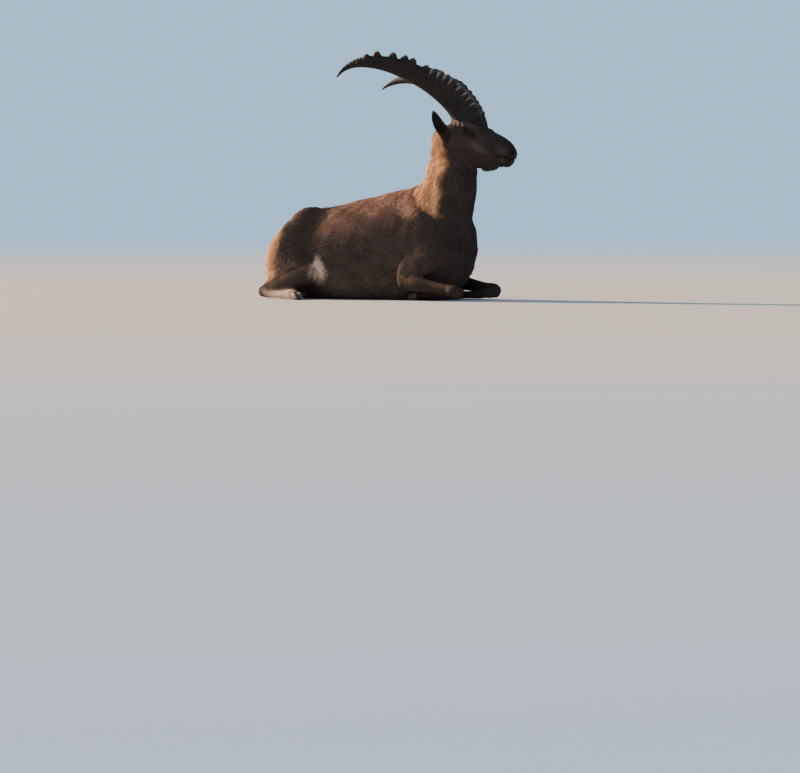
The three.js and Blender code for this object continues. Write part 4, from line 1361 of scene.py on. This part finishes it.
def smooth_table(places, values, at):
    """Values between the rows of a table, by a cubic through each row with its neighbours' slopes."""
    places, values, at = (np.asarray(v, float) for v in (places, values, at))
    slopes = np.gradient(values, places)
    k = np.clip(np.searchsorted(places, at) - 1, 0, len(places) - 2)
    span = places[k + 1] - places[k]
    t = np.clip((at - places[k]) / span, 0, 1)
    a, b = values[k], values[k + 1]
    m, n = slopes[k] * span, slopes[k + 1] * span
    return a + m * t + (3 * (b - a) - 2 * m - n) * t**2 + (2 * (a - b) + m + n) * t**3


def power_sum(terms, share):
    """The sum of terms times rising powers of a share."""
    return sum(term * share**power for power, term in enumerate(terms))


def horn_line(side, distances):
    """Points and directions of the horn's line in the level frame of the head."""
    fine = np.linspace(0, 1, 1201)
    middle = (fine[1:] + fine[:-1]) / 2
    extra_rise = power_sum(left_rise, middle) if side > 0 else 0
    rise = np.radians(power_sum(rise_terms, middle) + extra_rise)
    turn = np.radians(power_sum(turn_terms, middle) + (left_turn if side > 0 else 0))
    ways = np.stack([-np.cos(rise) * np.cos(turn), side * np.cos(rise) * np.sin(turn), np.sin(rise)], 1)
    start = horn_root * np.array((1, side, 1))
    points = np.vstack([start, start + np.cumsum(ways * horn_length / len(middle), 0)])
    ways = np.vstack([ways[:1], ways])
    share = np.clip(distances / horn_length, 0, 1)
    place = np.stack([np.interp(share, fine, column) for column in points.T], 1)
    way = unit(np.stack([np.interp(share, fine, column) for column in ways.T], 1))
    before = np.minimum(distances, 0)[:, None]
    return place + way * before, way


def horn_ridges(distances, jitter):
    """At each distance: height of the knobs, how far up one it is, the painted sunlit slits, the fine rings.
    """
    height = np.zeros(len(distances))
    slope = np.zeros(len(distances))
    sunlit_slits = np.zeros(len(distances))
    for (place, listed), shift in zip(knobs, jitter):
        high = listed * knob_growth
        half = knob_least_half + high * knob_half_share
        t = np.clip((distances - place - shift * 0.0015) / half, -1, 1)
        if slit_range[0] < place < slit_range[1]:
            sunlit_slits = np.maximum(sunlit_slits, bell(t, 0.80, 0.26) * (np.abs(t) < 1))
        t = np.where(t > 0, np.maximum(t, 0) ** 1.25, t)
        bump = np.cos(np.pi * t / 2) ** 1.15
        height = np.maximum(height, high * bump)
        slope = np.maximum(slope, bump)
    rings = 0.0007 * np.sin(distances * 620 + 2 * np.sin(distances * 90)) + 0.0005 * np.sin(distances * 1130)
    fade = smoothstep(-distances, -0.60, -0.45)
    return height, slope, sunlit_slits, rings * fade


def squarish(value, power):
    """A cosine or a sine bent so that the round section it draws grows flat sides."""
    return np.sign(value) * np.abs(value) ** (2 / power)


def horn_axes(side, way):
    """The ways to the horn's front face and across it, at each of its rows."""
    early, late = (horn_line(side, np.array([s * horn_length]))[1][0] for s in (0.2, 0.75))
    bend_axis = unit(np.cross(early, late))
    front = unit(np.cross(bend_axis, way))
    if front[0, 2] < 0:
        front = np.where(front[:, 2:] < 0, -front, front)
    return front, unit(np.cross(way, front))


def with_caps(obj, caps):
    """Adds triangles that close the two ends and turns every face outwards."""
    mesh = bmesh.new()
    mesh.from_mesh(obj.data)
    mesh.verts.ensure_lookup_table()
    for corners in caps:
        mesh.faces.new([mesh.verts[i] for i in corners]).smooth = True
    bmesh.ops.recalc_face_normals(mesh, faces=mesh.faces[:])
    mesh.to_mesh(obj.data)
    mesh.free()


def horn_faces():
    """Faces between the rows, and the triangles that close the root and the tip."""
    faces = []
    base = np.arange(horn_rows - 1) * horn_around
    for k in range(horn_around):
        beside = (k + 1) % horn_around
        faces.append(
            np.stack([base + k, base + beside, base + horn_around + beside, base + horn_around + k], 1)
        )
    first = horn_rows * horn_around
    end = first - horn_around
    caps = [(first, (k + 1) % horn_around, k) for k in range(horn_around)]
    caps += [(first + 1, end + k, end + (k + 1) % horn_around) for k in range(horn_around)]
    return np.concatenate(faces), caps


def make_horn(name, side, material):
    """A horn lofted along its line, flat-sided, with its knobs on the front face."""
    distances = np.linspace(-sunk_root, horn_length, horn_rows)
    place, way = horn_line(side, distances)
    front, across = horn_axes(side, way)
    jitter = rng.uniform(-1, 1, len(knobs))
    height, bump, sunlit_slits, rings = (row[:, None] for row in horn_ridges(distances, jitter))
    share = distances / horn_length
    half_depth = smooth_table(horn_shares, horn_half_depths, share)[:, None]
    half_width = smooth_table(horn_shares, horn_half_widths, share)[:, None]
    angle = 2 * np.pi * (np.arange(horn_around) + 0.5) / horn_around
    ahead = np.cos(angle)[None, :]
    sideways = np.sin(angle)[None, :]
    raised = height * smoothstep(ahead, -0.1, 0.72)
    flank = rings * (0.5 + 0.5 * smoothstep(ahead, -0.6, 0.4))
    deep = (half_depth + flank) * squarish(ahead, 2.6) + raised
    wide = (half_width + flank + 0.0012 * bump * (ahead > 0)) * squarish(sideways, 2.4)
    points = place[:, None, :] + deep[:, :, None] * front[:, None, :] + wide[:, :, None] * across[:, None, :]
    points = np.vstack([points.reshape(-1, 3), place[:1], place[-1:] + way[-1:] * 0.002])
    faces, caps = horn_faces()
    horn = new_piece(f"horn_sheath_{name}", from_frame(points, level_head), faces)
    with_caps(horn, caps)
    # Pale wear on the knobs' fronts, and painted sunlight in slits on their far faces
    worn = 0.22 * bump**2 * smoothstep(ahead, 0.5, 0.95) + 1.1 * sunlit_slits * smoothstep(ahead, 0.30, 0.75)
    store(horn.data, "along", np.concatenate([np.repeat(distances, horn_around), distances[[0, -1]]]))
    store(horn.data, "worn", np.concatenate([worn.ravel(), [0, 0]]))
    above = (head_frame.to_3x3() @ Vector((-math.sin(seat_tilt), 0, math.cos(seat_tilt)))).normalized()
    cut_away(horn, head_frame @ seat_middle - above * seat_sunk, -above)
    shade_smooth(horn)
    horn.data.materials.append(material)
    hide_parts(f"horn_{name}")
    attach(horn, "root")


# Eyes and lids

# The pupil's half sizes, and the angles from the middle of the eye between which the iris ends
pupil_half_length = 0.0070
pupil_half_height = 0.0028
iris_edge = (0.62, 0.72)

# The almond between the lids: its half length and how far each lid's edge rises over it
lid_half_length = 0.0212
lid_rise = {"upper": 0.0116, "lower": -0.0098}

# Each lid's rim: least and added radius of its roll, points along it and round it
lid_roll = {"upper": (0.0012, 0.0012), "lower": (0.0010, 0.0007)}
lid_steps = 41
lid_around = 10


def make_eye(name, side, material):
    """A ball with a clear bulge; the iris looks out to the side and a little forward."""
    bpy.ops.object.select_all(action="DESELECT")
    bpy.ops.mesh.primitive_uv_sphere_add(segments=48, ring_count=32, radius=eye_radius)
    eye = bpy.context.active_object
    eye.name = f"eyeball_{name}"
    points = mesh_points(eye.data)
    look = unit(np.array((0.28, side * 1.0, 0.02)))
    ahead = unit(points) @ look
    points = points * (1 + 0.07 * smoothstep(ahead, 0.78, 1.0))[:, None]
    up = unit(np.array((0.0, 0.0, 1.0)) - look * look[2])
    level = np.cross(up, look)
    rim = smoothstep(np.arccos(np.clip(ahead, -1, 1)), *iris_edge)
    pupil = (np.abs(points @ level) < pupil_half_length) & (np.abs(points @ up) < pupil_half_height)
    pupil = pupil & (ahead > 0)
    set_points(eye.data, from_frame(points + eye_centre * (1, side, 1), head_frame))
    store(eye.data, "iris", rim)
    store(eye.data, "pupil", pupil.astype(float))
    shade_smooth(eye)
    eye.data.materials.append(material)
    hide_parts(f"eye_{name}")
    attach(eye, "root")


def lid_edge(side, lid, t):
    """A point on the edge of a lid, from the rear corner at t = 0 to the tear corner at t = 1."""
    x = lid_half_length * (2 * t - 1)
    z = lid_rise[lid] * np.sin(np.pi * t) ** 0.85 - 0.003 * (t - 0.35)
    ball = np.sqrt(np.maximum((eye_radius + 0.0010) ** 2 - x**2 - z**2, 1e-6))
    corner = 0.0138
    soft = 0.0008
    reach = corner + np.log1p(np.exp((ball - corner) / soft)) * soft
    tear = 0.004 * smoothstep(t, 0.88, 1.0)
    return np.stack([x + tear, side * reach, z - tear * 0.6], 1)


def make_lid(name, side, lid, material):
    """A rolled rim along one edge of the almond."""
    over = 1 if lid == "upper" else -1
    t = np.linspace(0, 1, lid_steps)
    line = lid_edge(side, lid, t)
    outward = unit(line)
    away = unit(np.cross(unit(np.gradient(line, axis=0)), outward)) * over
    away = np.where(away[:, 2:] * over < 0, -away, away)
    least, added = lid_roll[lid]
    thick = least + added * np.sin(np.pi * t)
    ring = []
    for angle in 2 * np.pi * np.arange(lid_around) / lid_around:
        aside = away * (thick * 1.5 * math.cos(angle) + thick)[:, None]
        ring.append(line + aside + outward * (thick * math.sin(angle))[:, None])
    points = np.stack(ring, 1).reshape(-1, 3)
    faces = []
    for row in range(0, (lid_steps - 1) * lid_around, lid_around):
        for k in range(lid_around):
            a, b = row + k, row + (k + 1) % lid_around
            faces.append((a, b, b + lid_around, a + lid_around))
    rim = new_piece(f"lid_{lid}_{name}", from_frame(points + eye_centre * (1, side, 1), head_frame), faces)
    end = (lid_steps - 1) * lid_around
    fan = range(1, lid_around - 1)
    with_caps(rim, [(0, k, k + 1) for k in fan] + [(end, end + k + 1, end + k) for k in fan])
    rim.data.materials.append(material)
    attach(rim, "root")


# Hooves

hoof_voxel = 0.0016


def make_hooves(material):
    """Each claw of the solids, its edges rounded."""
    for name in [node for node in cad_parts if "claw" in node]:
        claw = merged_copy(name)
        claw.name = f"hoof_{name}"
        voxel_surface(claw, hoof_voxel)
        points = smooth_values(mesh_points(claw.data), mesh_edges(claw.data), 6)
        points[:, 2] = np.maximum(points[:, 2], 0.0)
        set_points(claw.data, points)
        shade_smooth(claw)
        claw.data.materials.clear()
        claw.data.materials.append(material)
        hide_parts(name)
        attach(claw, "root")


# The model

make_camera()
make_studio()
hair_group = hair_colour_group()
skin_finish = skin_material(hair_group)
coat_finish = coat_material(hair_group)

skin, region_search, triangle_regions = make_skin()
skin_points = mesh_points(skin.data)
skin_regions = regions_of(skin_points, region_search, triangle_regions)
region_shares = smooth_values(np.eye(len(flesh_names))[skin_regions], mesh_edges(skin.data), 6)
unwrap(skin)
skin.data.materials.clear()
skin.data.materials.append(skin_finish)
store(skin.data, "markings_and_light", markings_and_light(skin_points, mesh_normals(skin.data), region_shares))
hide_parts(*flesh_names)
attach(skin, "root")

horn_finish = horn_material()
lid_finish = lid_material()
eye_finish = eye_material()
for side_name, side_sign in sides.items():
    make_horn(side_name, side_sign, horn_finish)
    make_eye(side_name, side_sign, eye_finish)
    for lid_name in lid_rise:
        make_lid(side_name, side_sign, lid_name, lid_finish)
make_hooves(hoof_material())
grow_coat(skin, region_shares, coat_finish)
